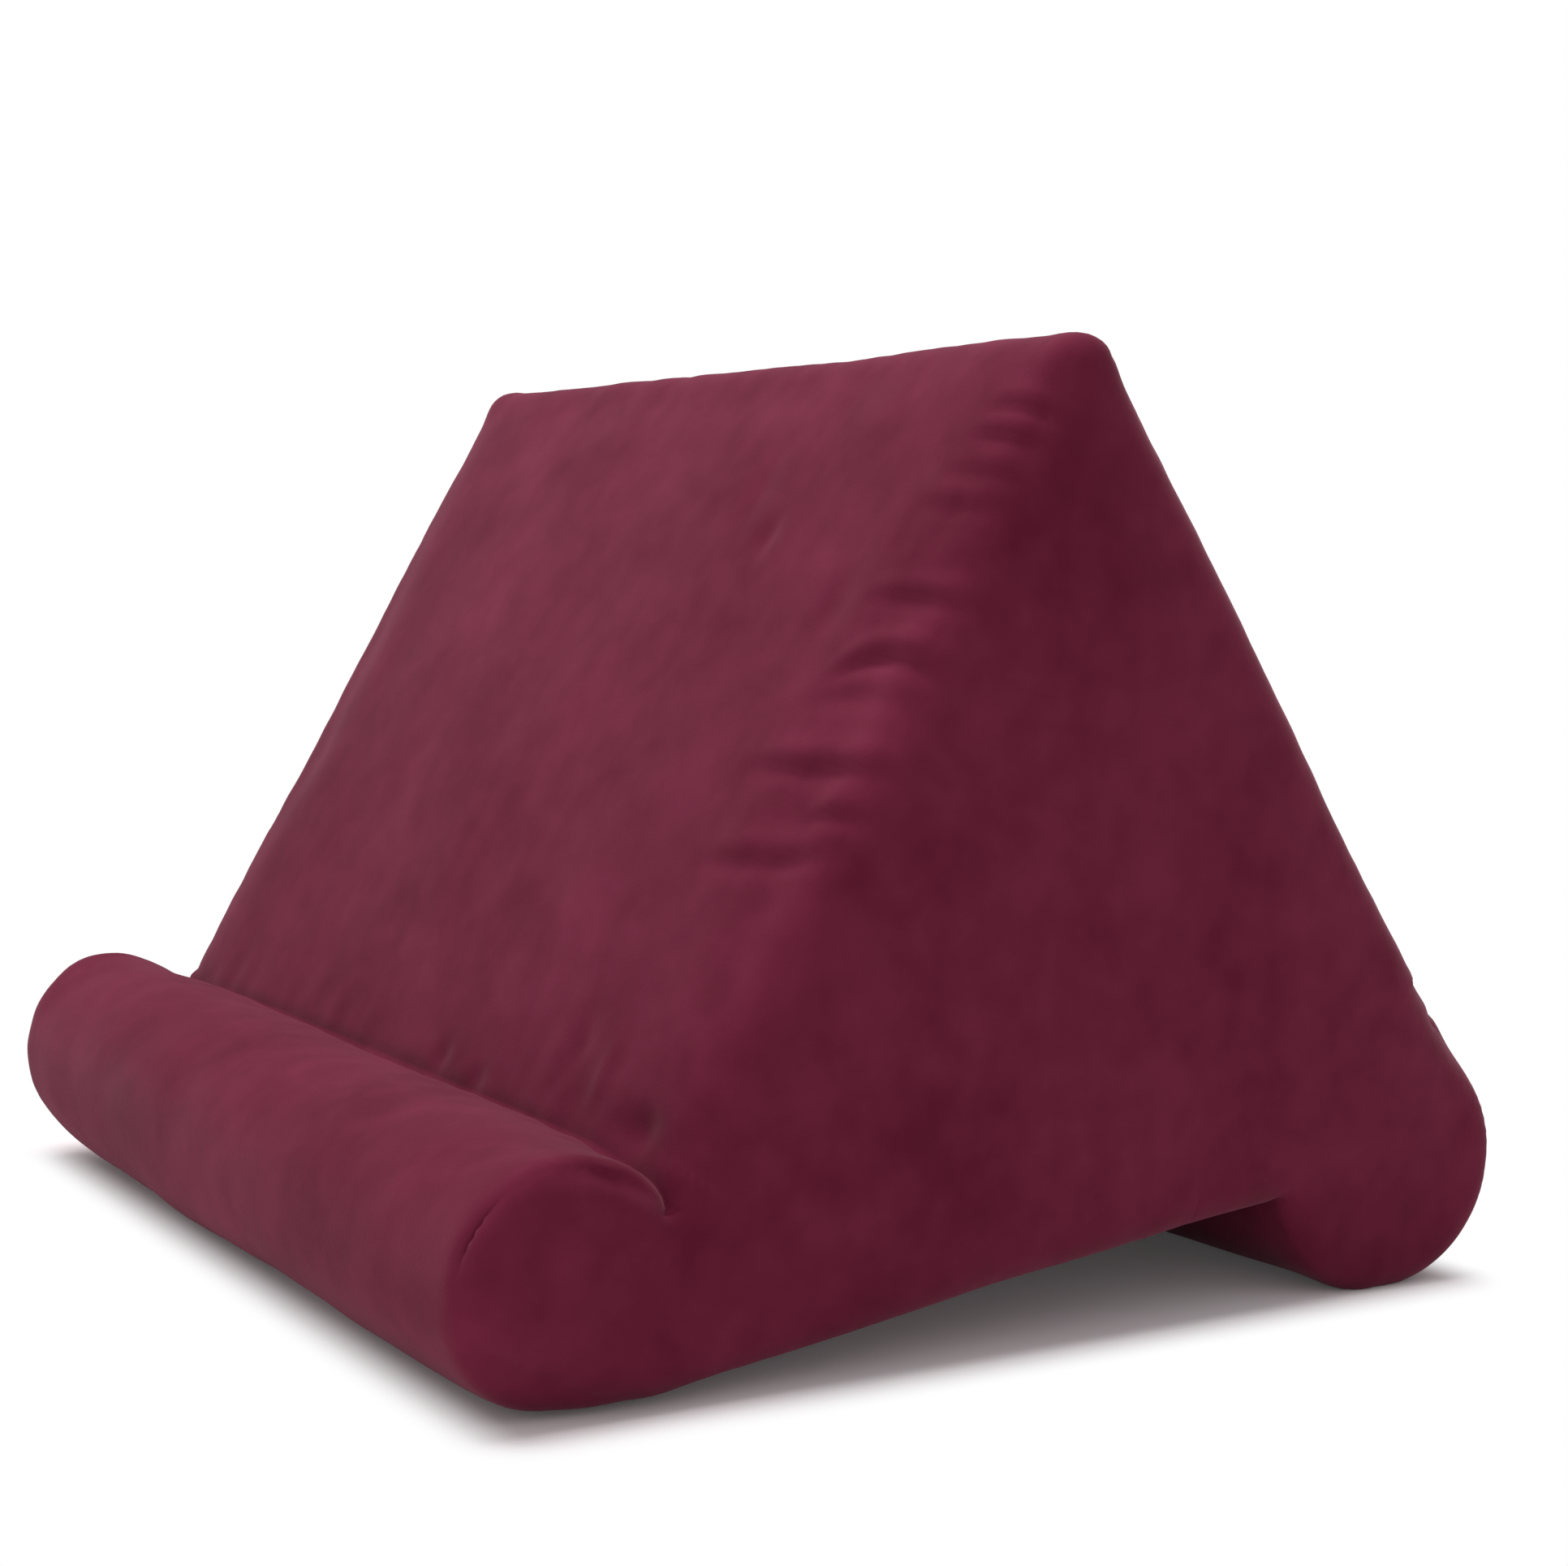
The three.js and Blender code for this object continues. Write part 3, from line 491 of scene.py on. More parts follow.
def side_fill(ring):
    """Rows of points and a lattice inside a ring, and the triangles that join them to the ring."""
    rows = np.arange(ring[:, 1].min(), ring[:, 1].max(), GRID * math.sqrt(0.75))
    lattice = []
    for number, height in enumerate(rows):
        shift = GRID / 2 * (number % 2)
        lattice += [(y + shift, height) for y in np.arange(ring[:, 0].min(), ring[:, 0].max(), GRID)]
    lattice = np.array(lattice)
    lattice = lattice[inside_ring(lattice, ring)]
    lattice = lattice[edge_distance(lattice, ring) > SIDE_ROWS[-1] + LATTICE_GAP * GRID]
    lattice = np.concatenate([inset(ring, depth) for depth in SIDE_ROWS] + [lattice])
    places = [Vector(point) for point in np.concatenate([ring, lattice])]
    edges = [(i, (i + 1) % len(ring)) for i in range(len(ring))]
    triangles = geometry.delaunay_2d_cdt(places, edges, [], INSIDE_ONLY, SAME_POINT)[2]
    return lattice, triangles


def settled(places):
    """Places of the cover in millimetres, moved to how the stuffing lies."""
    x, y, z = places.T
    on_ledge = np.clip((LEDGE_BEGINS - y) / LEDGE_RADIUS, 0, 1)
    level = np.clip(z / LEDGE_RADIUS / 2, 0, 1)
    end = (np.abs(x) / HALF_WIDTH) ** END_LIFT_POWER * on_ledge
    sag = ROLL_SAG * on_ledge * level * np.exp(-((x - SAG_X) / SAG_SPREAD) ** 2)
    right = np.clip(0.5 + x / HALF_WIDTH / 2, 0, 1)
    fuller = TOP_RISE * right ** 2 * np.clip(z / HEIGHT, 0, 1) ** 3
    lift = np.where(x < 0, LEFT_LIFT, RIGHT_LIFT) * end * (1 - LIFT_LOST_AT_TOP * level)
    shorter = LEFT_END_IN * end * (1 - level) * (x < 0)
    back, up = y - foot.centre[0], z - foot.centre[1]
    turn = np.degrees(np.arctan2(up, back)) % 360
    bulge = FOOT_BULGE * np.exp(-((turn - FOOT_BULGE_ANGLE) / FOOT_BULGE_SPREAD) ** 2)
    bulge *= 1 - (x / HALF_WIDTH) ** FOOT_BULGE_POWER
    bulge *= np.hypot(back, up) < FOOT_RADIUS + FOOT_BULGE_MARGIN
    moved = places + np.stack([shorter, -bulge, lift + fuller - sag], 1)
    trough_fill = TROUGH_FILL * np.interp(np.abs(x), TROUGH_FILL_ENDS, (1, 0))
    fills = ((trough, rest_face, TROUGH_ANGLE, trough_fill), (heel, back_face, HEEL_ANGLE, HEEL_FILL))
    for corner, face, angle, amount in fills:
        out = face.normal + polar(math.radians(angle))
        share = np.exp(-(np.hypot(y - corner[0], z - corner[1]) / FILL_REACH) ** 2)
        moved[:, 1:] += np.outer(amount * share, out / norm(out))
    return moved


def build_cover():
    """The whole cover as one closed mesh; each face knows its panel by its material index."""
    panels = np.concatenate([[panel] * (len(points) - 1) for panel, points in side_view(0, 0)])
    mesh = bmesh.new()
    rows = []
    for x in across():
        ring = rim_ring(x, FACE_CROWN * (1 - (x / SEAM_X) ** 2))
        rows.append([mesh.verts.new(Vector((x, y, z)) * MM) for y, z in ring])
    count = len(panels)
    for left, right in zip(rows, rows[1:]):
        for k in range(count):
            after = (k + 1) % count
            face = mesh.faces.new((left[k], left[after], right[after], right[k]))
            face.material_index = int(panels[k])
    for side, edge, panel in ((-1, rows[0], LEFT), (1, rows[-1], RIGHT)):
        rim = rim_ring(side * SEAM_X, 0)
        lattice, triangles = side_fill(rim)
        out = SEAM_X + side_swell(edge_distance(lattice, rim))
        inner = [mesh.verts.new(Vector((side * x, y, z)) * MM) for x, (y, z) in zip(out, lattice)]
        corners = list(edge) + inner
        for triangle in triangles:
            face = mesh.faces.new([corners[k] for k in triangle])
            face.material_index = panel
    bmesh.ops.recalc_face_normals(mesh, faces=mesh.faces)
    cover = object_from(mesh, "cover")
    set_coords(cover.data, settled(coords(cover.data) / MM) * MM)
    return cover


def new_object(name, data):
    piece = bpy.data.objects.new(name, data)
    bpy.context.scene.collection.objects.link(piece)
    return piece


def object_from(mesh, name):
    """A new object from an open mesh, which is freed."""
    data = bpy.data.meshes.new(name)
    mesh.to_mesh(data)
    mesh.free()
    return new_object(name, data)


def select_only(piece):
    bpy.ops.object.select_all(action="DESELECT")
    piece.select_set(True)
    bpy.context.view_layer.objects.active = piece


def apply_modifiers(piece):
    select_only(piece)
    for modifier in list(piece.modifiers):
        bpy.ops.object.modifier_apply(modifier=modifier.name)


@contextmanager
def editing(piece):
    """The whole of a piece, selected in edit mode."""
    select_only(piece)
    bpy.ops.object.mode_set(mode="EDIT")
    bpy.ops.mesh.select_all(action="SELECT")
    yield
    bpy.ops.object.mode_set(mode="OBJECT")


def coords(mesh):
    values = np.empty(len(mesh.vertices) * 3)
    mesh.vertices.foreach_get("co", values)
    return values.reshape(-1, 3)


def vertex_normals(mesh):
    values = np.empty(len(mesh.vertices) * 3)
    mesh.vertex_normals.foreach_get("vector", values)
    return values.reshape(-1, 3)


def set_coords(mesh, places):
    mesh.vertices.foreach_set("co", np.ascontiguousarray(places, dtype=np.float32).ravel())
    mesh.update()


def panel_edges(mesh):
    """Edges between two panels: (edge index, its two vertices, the panels on both sides)."""
    sides = {}
    for face in mesh.polygons:
        for key in face.edge_keys:
            sides.setdefault(key, set()).add(face.material_index)
    return [(edge.index, edge.key, sides[edge.key]) for edge in mesh.edges if len(sides[edge.key]) > 1]


def seam_between(panels):
    """The seam that an edge between these panels belongs to, or nothing at the zip's folded edges."""
    if LEFT in panels:
        return "left_seam_thread"
    if RIGHT in panels:
        return "right_seam_thread"
    seams = {
        (FRONT, LEDGE): "trough_seam_thread",
        (FRONT, BACK): "top_seam_thread",
        (BACK, FOOT): "heel_seam_thread",
        (FOOT, BASE): "arch_seam_thread",
    }
    return seams.get(tuple(sorted(panels)))


def seam_paths(mesh):
    """The vertices of each seam, in order along it."""
    links = {}
    for _, (first, second), panels in panel_edges(mesh):
        seam = links.setdefault(seam_between(panels), {})
        seam.setdefault(first, []).append(second)
        seam.setdefault(second, []).append(first)
    links.pop(None, None)
    paths = {}
    for name, joined in links.items():
        ends = [vertex for vertex, others in joined.items() if len(others) == 1]
        path = [min(ends) if ends else min(joined)]
        before = None
        while True:
            onward = [vertex for vertex in joined[path[-1]] if vertex != before and vertex != path[0]]
            if not onward or len(path) > len(joined):
                break
            before = path[-1]
            path.append(onward[0])
        paths[name] = path
    return paths


def evened(mesh, values):
    """Values at the vertices, each averaged with its neighbours a number of times."""
    ends = np.empty(len(mesh.edges) * 2, dtype=int)
    mesh.edges.foreach_get("vertices", ends)
    first, second = ends.reshape(-1, 2).T
    count = np.bincount(ends, minlength=len(values))
    for _ in range(SWELL_SMOOTHING):
        total = np.bincount(first, values[second], len(values))
        total += np.bincount(second, values[first], len(values))
        values = (values + total / count) / 2
    return values


def swell(cover):
    """Swells the cover with air, held at its cross seams, and caps how far each point moves."""
    start = coords(cover.data)
    normals = vertex_normals(cover.data)
    held = set()
    for _, key, panels in panel_edges(cover.data):
        if not panels & {LEFT, RIGHT} and panels != {FRONT, BACK}:
            held.update(key)
    group = cover.vertex_groups.new(name="held")
    group.add(list(held), 1.0, "REPLACE")
    cloth = cover.modifiers.new("swell", "CLOTH")
    settings = cloth.settings
    settings.quality = 6
    settings.mass = 0.3
    settings.tension_stiffness = 25
    settings.compression_stiffness = 25
    settings.shear_stiffness = 10
    settings.bending_stiffness = 2
    settings.use_pressure = True
    settings.uniform_pressure_force = PRESSURE
    settings.vertex_group_mass = "held"
    settings.effector_weights.gravity = 0
    cloth.point_cache.frame_start = 1
    cloth.point_cache.frame_end = SWELL_FRAMES
    for number in range(1, SWELL_FRAMES + 1):
        bpy.context.scene.frame_set(number)
    apply_modifiers(cover)
    move = coords(cover.data) - start
    out = np.clip((move * normals).sum(1), -SWELL_IN * MM, SWELL_OUT * MM)
    capped = start + normals * evened(cover.data, out)[:, None]
    capped[:, 2] = np.maximum(capped[:, 2], 0)
    set_coords(cover.data, capped)
    bpy.context.scene.frame_set(1)


def refine(cover):
    """One subdivision that keeps the seams' lines."""
    creases = cover.data.attributes.new("crease_edge", "FLOAT", "EDGE")
    for index, _, panels in panel_edges(cover.data):
        creases.data[index].value = SIDE_CREASE if panels & {LEFT, RIGHT} else CROSS_CREASE
    modifier = cover.modifiers.new("refine", "SUBSURF")
    modifier.levels = 1
    modifier.render_levels = 1
    apply_modifiers(cover)


def nearest_seam(places, seams):
    """For each place, the nearest point of some seams and its distance, in millimetres."""
    points = np.concatenate([places[path] for path in seams])
    tree = kdtree.KDTree(len(points))
    for index, point in enumerate(points):
        tree.insert(point, index)
    tree.balance()
    found = [tree.find(place) for place in places]
    return np.array([spot for spot, _, _ in found]), np.array([distance for _, _, distance in found])


def wave(points, length, layer):
    """Smooth seeded noise over points in millimetres, between about -1 and 1."""
    shift = Vector((0, 0, LAYER_STEP * layer))
    return np.array([noise.noise(Vector(point) / length + shift) for point in points])


def round_roll(spots, roll, angle, spread):
    """How near places of a side seam are to an angle round a roll, from 0 to 1."""
    out = spots[:, 1:] - roll.centre
    turn = np.degrees(np.arctan2(out[:, 1], out[:, 0])) - angle
    turn = (turn + 180) % 360 - 180
    on_roll = norm(out, axis=1) < roll.radius + EDGE_RADIUS / 2
    return np.exp(-(turn / spread) ** 2) * on_roll


# Edges that are squarer or flatter than the rest: the roll, by how much, angle, spread and reach
EdgeForm = namedtuple("EdgeForm", "roll amount angle spread reach")
EDGE_FORMS = (
    EdgeForm(ledge, 0.9, 38, 22, 7),
    EdgeForm(foot, 3.0, -55, 55, 7),
    EdgeForm(foot, 1.2, -5, 40, 8),
    EdgeForm(foot, -2.8, 48, 28, 9),
    EdgeForm(top_edge, 1.2, 90, 70, 6),
)


def edge_relief(places, spots, distance):
    """Fuller and flatter edges, and the groove and pinched lip of the ledge roll's ends, in millimetres."""
    deeper = CAP_GROOVE * round_roll(spots, ledge, CAP_GROOVE_ANGLE, CAP_GROOVE_SPREAD)
    pinch = PINCH * round_roll(spots, ledge, PINCH_ANGLE, PINCH_SPREAD)
    past_seam = np.abs(places[:, 0]) > np.abs(spots[:, 0])
    lip = np.where(past_seam, PINCH_FALL, PINCH_RISE) * np.exp(-(distance / PINCH_WIDTH - 1) ** 2)
    relief = pinch * lip - deeper * np.exp(-(distance / CAP_GROOVE_WIDTH) ** GROOVE_POWER)
    for form in EDGE_FORMS:
        there = round_roll(spots, form.roll, form.angle, form.spread)
        relief += form.amount * there * np.exp(-(distance / form.reach) ** 2)
    return relief


def seam_relief(places, paths):
    """Grooves along the seams and puckers beside them, in millimetres."""
    side_seams = [path for name, path in paths.items() if name in ("left_seam_thread", "right_seam_thread")]
    cross_seams = [path for path in paths.values() if path not in side_seams]
    relief = np.zeros(len(places))
    for layer, (seams, depth) in enumerate(((side_seams, SIDE_GROOVE), (cross_seams, GROOVE))):
        spots, distance = nearest_seam(places, seams)
        if seams is side_seams:
            relief += edge_relief(places, spots, distance)
        relief -= depth * np.exp(-(distance / GROOVE_WIDTH) ** GROOVE_POWER)
        share = distance / PUCKER_REACH
        more = np.abs(wave(spots, STRENGTH_LENGTH, STRENGTH_LAYER + layer))
        strength = PUCKER * (LEAST_STRENGTH + MORE_STRENGTH * more)
        relief += strength * share * np.exp(1 - share) * wave(spots, PUCKER_LENGTH, PUCKER_LAYER + layer)
    return relief


def face_relief(places):
    """Creases, dents and gathers of the rest face, in millimetres."""
    x = places[:, 0]
    side = places[:, 1:] - trough
    up = side @ rest_face.along
    relief = np.zeros(len(places))
    for fold in FOLDS:
        along = x - fold.x
        tilt = FOLD_TILT * (1 - fold.up / FOLD_LEVEL)
        above = (up - fold.up - tilt * along - fold.bend * along ** 2) / fold.width
        profile = RIDGE * np.exp(-((above - RIDGE_PLACE) / RIDGE_WIDTH) ** 2) - np.exp(-above ** 2)
        relief += fold.depth * profile * np.exp(-(along / fold.half) ** 4)
    for dent in DENTS:
        far = ((x - dent.x) / dent.across) ** 2 + ((up - dent.up) / dent.along) ** 2
        relief -= dent.depth * np.exp(-far)
    ripples = wave(np.stack([x, np.zeros(len(x)), up / GATHER_STRETCH], 1), GATHER_WIDTH, GATHER_LAYER)
    share = np.maximum(up, 0) / GATHER_RISE
    there = np.exp(-((x - GATHER_X) / GATHER_SPREAD) ** 2)
    relief += GATHER * there * ripples * share * np.exp(1 - share)
    near = np.abs(side @ rest_face.normal) < EDGE_RADIUS
    fade = np.clip((HALF_WIDTH + FADE_PAST - np.abs(x)) / FADE_WIDTH, 0, 1)
    return relief * near * (up > 0) * fade


def dress(cover, paths):
    """Seams, creases and lumps, as moves along the cover's normals."""
    places = coords(cover.data) / MM
    relief = seam_relief(places, paths) + face_relief(places)
    for layer, (length, height) in enumerate(LUMPS):
        relief += height * wave(places, length, layer)
    moved = places + vertex_normals(cover.data) * relief[:, None]
    moved[:, 2] = np.maximum(moved[:, 2], 0)
    set_coords(cover.data, moved * MM)


def cad_copy(node, name):
    """A copy of a solid, with its loose triangles joined up."""
    piece = new_object(name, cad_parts[node].data.copy())
    with editing(piece):
        bpy.ops.mesh.remove_doubles(threshold=1e-6)
    return piece


def tuck_in(node, name, slot_name, tree):
    """A soft filling from a solid: remeshed, smoothed and kept under the cover."""
    piece = cad_copy(node, name)
    remesh = piece.modifiers.new("remesh", "REMESH")
    remesh.mode = "VOXEL"
    remesh.voxel_size = FILLING_VOXEL * MM
    smooth = piece.modifiers.new("smooth", "SMOOTH")
    smooth.factor = 0.5
    smooth.iterations = FILLING_SMOOTHING
    apply_modifiers(piece)
    places = coords(piece.data)
    for index, place in enumerate(places):
        spot, normal, _, _ = tree.find_nearest(Vector(place))
        normal = np.array(normal)
        out = (place - np.array(spot)) @ normal
        if out > -FILLING_GAP * MM:
            places[index] = place - normal * (out + FILLING_GAP * MM)
    set_coords(piece.data, places)
    piece.data.shade_smooth()
    finish_piece(piece, "cushion", node, slot_name)
    return piece


def rounded(mesh):
    return np.round(coords(mesh) / MM, 3).tolist()


def split_panels(cover):
    """One object for each panel, with the cloth's thickness inside, shaded on across the seams."""
    pieces = []
    whole = {tuple(place): normal for place, normal in zip(rounded(cover.data), vertex_normals(cover.data))}
    for index, name in enumerate(PANELS):
        mesh = bmesh.new()
        mesh.from_mesh(cover.data)
        others = [face for face in mesh.faces if face.material_index != index]
        bmesh.ops.delete(mesh, geom=others, context="FACES")
        for face in mesh.faces:
            face.material_index = 0
            face.smooth = True
        piece = object_from(mesh, "cover_" + name)
        wall = piece.modifiers.new("thickness", "SOLIDIFY")
        wall.thickness = CLOTH * MM
        wall.offset = -1
        apply_modifiers(piece)
        shading = [whole.get(tuple(place), (0, 0, 0)) for place in rounded(piece.data)]
        piece.data.normals_split_custom_set_from_vertices(shading)
        finish_piece(piece, "cushion", name, "pile")
        pieces.append(piece)
    bpy.data.objects.remove(cover)
    return pieces


def cut_size(panel):
    """A panel's flat size between its seams: width and length, and its area, in metres."""
    if panel in (LEFT, RIGHT):
        ring = ring_at(0, 0) * MM
        after = np.roll(ring, -1, axis=0)
        area = abs((ring[:, 0] * after[:, 1] - ring[:, 1] * after[:, 0]).sum()) / 2
        return DEPTH * MM, HEIGHT * MM, area
    runs = [points for number, points in side_view(0, FACE_CROWN) if number == panel]
    length = sum(norm(np.diff(points, axis=0), axis=1).sum() for points in runs) * MM
    edge = EDGE_RADIUS * math.asin((SEAM_X + EDGE_RADIUS - HALF_WIDTH) / EDGE_RADIUS)
    width = 2 * (HALF_WIDTH - EDGE_RADIUS + edge) * MM
    return width, length, width * length


def repeated(name, template, places):
    """One mesh of copies of a template, each put in place by a matrix."""
    points = coords(template.data)
    corners = [list(face.vertices) for face in template.data.polygons]
    verts = []
    faces = []
    for place in places:
        turn = np.array(place)
        start = len(verts) * len(points)
        verts.append(points @ turn[:3, :3].T + turn[:3, 3])
        faces += [[start + corner for corner in face] for face in corners]
    data = bpy.data.meshes.new(name)
    data.from_pydata(np.concatenate(verts).tolist(), [], faces)
    data.shade_smooth()
    return new_object(name, data)


def one_stitch():
    """A stitch along X: a ball drawn out in edit mode."""
    bpy.ops.mesh.primitive_uv_sphere_add(segments=6, ring_count=6, radius=THREAD_RADIUS * MM,
                                         location=(0, 0, 0))
    stitch = bpy.context.object
    with editing(stitch):
        bpy.ops.transform.resize(value=(STITCH_LENGTH / THREAD_RADIUS / 2, 1, 1), center_override=(0, 0, 0))
    return stitch


def stitch_places(path, normals, sink):
    """Matrices of stitches along a path, each lying along it and sunk into the cloth."""
    steps = norm(np.diff(path, axis=0), axis=1)
    reached = np.concatenate([[0], np.cumsum(steps)])
    middles = np.arange(STITCH_PITCH / 2, reached[-1] / MM, STITCH_PITCH) * MM
    places = []
    for middle in middles:
        spot, ahead, behind = (
            Vector([np.interp(middle + shift, reached, path[:, axis]) for axis in range(3)])
            for shift in (0, STITCH_LENGTH / 2 * MM, -STITCH_LENGTH / 2 * MM)
        )
        out = Vector([np.interp(middle, reached, normals[:, axis]) for axis in range(3)])
        forward = (ahead - behind).normalized()
        side = out.cross(forward).normalized()
        up = forward.cross(side)
        sunk = spot - up * (sink * MM)
        places.append(Matrix.Translation(sunk) @ Matrix((forward, side, up)).transposed().to_4x4())
    return places


def zip_at(x, back, depth):
    """A point of the underside, from the middle of the zip."""
    return Vector((x, *underside_at(back, depth))) * MM


def zip_turn():
    """Turns a piece made lying flat to the slope of the underside."""
    return Matrix(((1, 0, 0), (0, *-base_face.along), (0, *-base_face.normal))).transposed().to_4x4()


def under_path(back, tree):
    """A line across the underside of the cover, on its surface."""
    inward = Vector((0, *-base_face.normal))
    points = []
    for x in np.linspace(-SEAM_X, SEAM_X, 2 * FACE_STEPS):
        spot = tree.ray_cast(zip_at(x, back, -EDGE_RADIUS), inward)[0]
        if spot:
            points.append(spot)
    return np.array(points)


def one_coil_loop():
    """A loop of the zip's coil round X: a ring turned upright and drawn out in edit mode."""
    radius = COIL_HEIGHT / 2 - COIL_WIRE
    bpy.ops.mesh.primitive_torus_add(major_segments=10, minor_segments=5, major_radius=radius * MM,
                                     minor_radius=COIL_WIRE * MM, location=(0, 0, 0))
    loop = bpy.context.object
    with editing(loop):
        bpy.ops.transform.rotate(value=math.pi / 2, orient_axis="Y", center_override=(0, 0, 0))
        bpy.ops.transform.resize(value=(1, COIL_WIDTH / COIL_HEIGHT, 1), center_override=(0, 0, 0))
    return loop


def wind_coil(node, loop, way):
    """One side of the zip's coil: loops along the edge of its tape."""
    slant = Matrix.Rotation(math.radians(way * COIL_SLANT), 4, "Z")
    back = way * (SLIT_HALF + COIL_WIDTH / 2)
    level = COIL_LEVEL + COIL_HEIGHT / 2
    shift = COIL_PITCH / 4 * way
    places = [Matrix.Translation(zip_at(x + shift, back, level)) @ zip_turn() @ slant
              for x in np.arange(COIL_PITCH - CHAIN_HALF, CHAIN_HALF, COIL_PITCH)]
    piece = repeated(node + "_loops", loop, places)
    finish_piece(piece, "cushion", node, "zip_coil")


def machined(node, name, body):
    """A metal piece from its solid, with its edges rounded off."""
    piece = cad_copy(node, name)
    with editing(piece):
        bpy.ops.mesh.dissolve_limited(angle_limit=math.radians(METAL_FLAT_ANGLE))
    bevel = piece.modifiers.new("rounded", "BEVEL")
    bevel.width = METAL_BEVEL * MM
    bevel.segments = 2
    bevel.limit_method = "ANGLE"
    apply_modifiers(piece)
    bpy.ops.object.shade_smooth_by_angle(angle=math.radians(METAL_SMOOTH_ANGLE))
    finish_piece(piece, body, node, "zip_metal")


def woven(node, name, slot_name, cuts, ripple):
    """A web or a tape from its solid: cut finer and given a slight ripple."""
    piece = cad_copy(node, name)
    with editing(piece):
        bpy.ops.mesh.subdivide(number_cuts=cuts)
    places = coords(piece.data) / MM
    places[:, 1] += ripple * wave(places, LINING_RIPPLE_LENGTH, RIPPLE_LAYER)
    set_coords(piece.data, places * MM)
    finish_piece(piece, "cushion", node, slot_name)


def sew(node, stitch, path, normals, sink):
    """A row of stitches along a path, in place of a node's plain thread."""
    places = stitch_places(path, normals, sink)
    piece = repeated(node.removesuffix("_thread") + "_stitches", stitch, places)
    finish_piece(piece, "cushion", node, "thread")


def finish_piece(piece, body, node, slot_name):
    """Gives a piece its body and its slot's material, and hides the node that it stands for."""
    piece.data.materials.clear()
    piece.data.materials.append(materials[slot_name])
    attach(piece, body)
    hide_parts(node)


# Materials
def new_material(name):
    material = bpy.data.materials.new(name)
    material.use_nodes = True
    return material, material.node_tree.nodes, material.node_tree.links


def set_inputs(node, **values):
    """Gives a node's inputs their values; the spaces of an input's name are written as underscores."""
    for name, value in values.items():
        node.inputs[name.replace("_", " ")].default_value = value


def add_node(nodes, kind, **values):
    node = nodes.new("ShaderNode" + kind)
    set_inputs(node, **values)
    return node


def add_math(nodes, operation, kind="Math"):
    """A node that reckons with numbers, or with vectors where its kind says so."""
    node = add_node(nodes, kind)
    node.operation = operation
    return node


def add_noise(nodes, links, place, detail, scale=1):
    """A noise texture in the object's own coordinates."""
    texture = add_node(nodes, "TexNoise", Detail=detail, Scale=scale)
    links.new(place.outputs["Object"], texture.inputs["Vector"])
    return texture


def effect_group(name, rate):
    """A node group with a rate per metre, and a shade and a height that change over the surface."""
    group = bpy.data.node_groups.new(name, "ShaderNodeTree")
    group.interface.new_socket(rate, in_out="INPUT", socket_type="NodeSocketFloat")
    for socket in ("Shade", "Height"):
        group.interface.new_socket(socket, in_out="OUTPUT", socket_type="NodeSocketFloat")
    nodes = group.nodes
    return group, nodes, group.links, nodes.new("NodeGroupInput"), nodes.new("NodeGroupOutput")


def mottle_group():
    """Soft cloudy lumps with finer ones on top."""
    group, nodes, links, given, result = effect_group("mottle", "Lumps per metre")
    place = add_node(nodes, "TexCoord")
    clouds = add_noise(nodes, links, place, 2)
    grains = add_noise(nodes, links, place, 3)
    finer = add_math(nodes, "MULTIPLY")
    finer.inputs[1].default_value = GRAINS_PER_LUMP
    shade = add_node(nodes, "MapRange", From_Min=0.3, From_Max=0.7)
    links.new(given.outputs["Lumps per metre"], clouds.inputs["Scale"])
    links.new(given.outputs["Lumps per metre"], finer.inputs[0])
    links.new(finer.outputs["Value"], grains.inputs["Scale"])
    links.new(clouds.outputs["Fac"], shade.inputs["Value"])
    links.new(shade.outputs["Result"], result.inputs["Shade"])
    links.new(grains.outputs["Fac"], result.inputs["Height"])
    return group


def weave_group():
    """A plain weave: two sets of yarns that cross each other, as bands across X and across Y."""
    group, nodes, links, given, result = effect_group("weave", "Yarns per metre")
    place = add_node(nodes, "TexCoord")
    waves = []
    for direction in ("X", "Y"):
        yarns = add_node(nodes, "TexWave", Distortion=0.4)
        yarns.wave_type = "BANDS"
        yarns.bands_direction = direction
        links.new(given.outputs["Yarns per metre"], yarns.inputs["Scale"])
        links.new(place.outputs["Object"], yarns.inputs["Vector"])
        waves.append(yarns)
    crossing = add_math(nodes, "MULTIPLY")
    shade = add_node(nodes, "MapRange", To_Min=0.1, To_Max=0.9)
    links.new(waves[0].outputs["Fac"], crossing.inputs[0])
    links.new(waves[1].outputs["Fac"], crossing.inputs[1])
    links.new(crossing.outputs["Value"], shade.inputs["Value"])
    links.new(shade.outputs["Result"], result.inputs["Shade"])
    links.new(crossing.outputs["Value"], result.inputs["Height"])
    return group


def plain_material(name, finish):
    """A material whose colour and bumps come from one of the node groups."""
    material, nodes, links = new_material(name)
    shader = nodes["Principled BSDF"]
    set_inputs(shader, Roughness=finish.roughness, Metallic=finish.metallic)
    effect = add_node(nodes, "Group")
    effect.node_tree = finish.group
    effect.inputs[0].default_value = finish.per_metre
    colours = add_node(nodes, "ValToRGB")
    colours.color_ramp.elements[0].color = (*finish.dark, 1)
    colours.color_ramp.elements[1].color = (*finish.light, 1)
    bump = add_node(nodes, "Bump", Strength=0.5, Distance=finish.relief * MM)
    links.new(effect.outputs["Shade"], colours.inputs["Fac"])
    links.new(colours.outputs["Color"], shader.inputs["Base Color"])
    links.new(effect.outputs["Height"], bump.inputs["Height"])
    links.new(bump.outputs["Normal"], shader.inputs["Normal"])
    return material


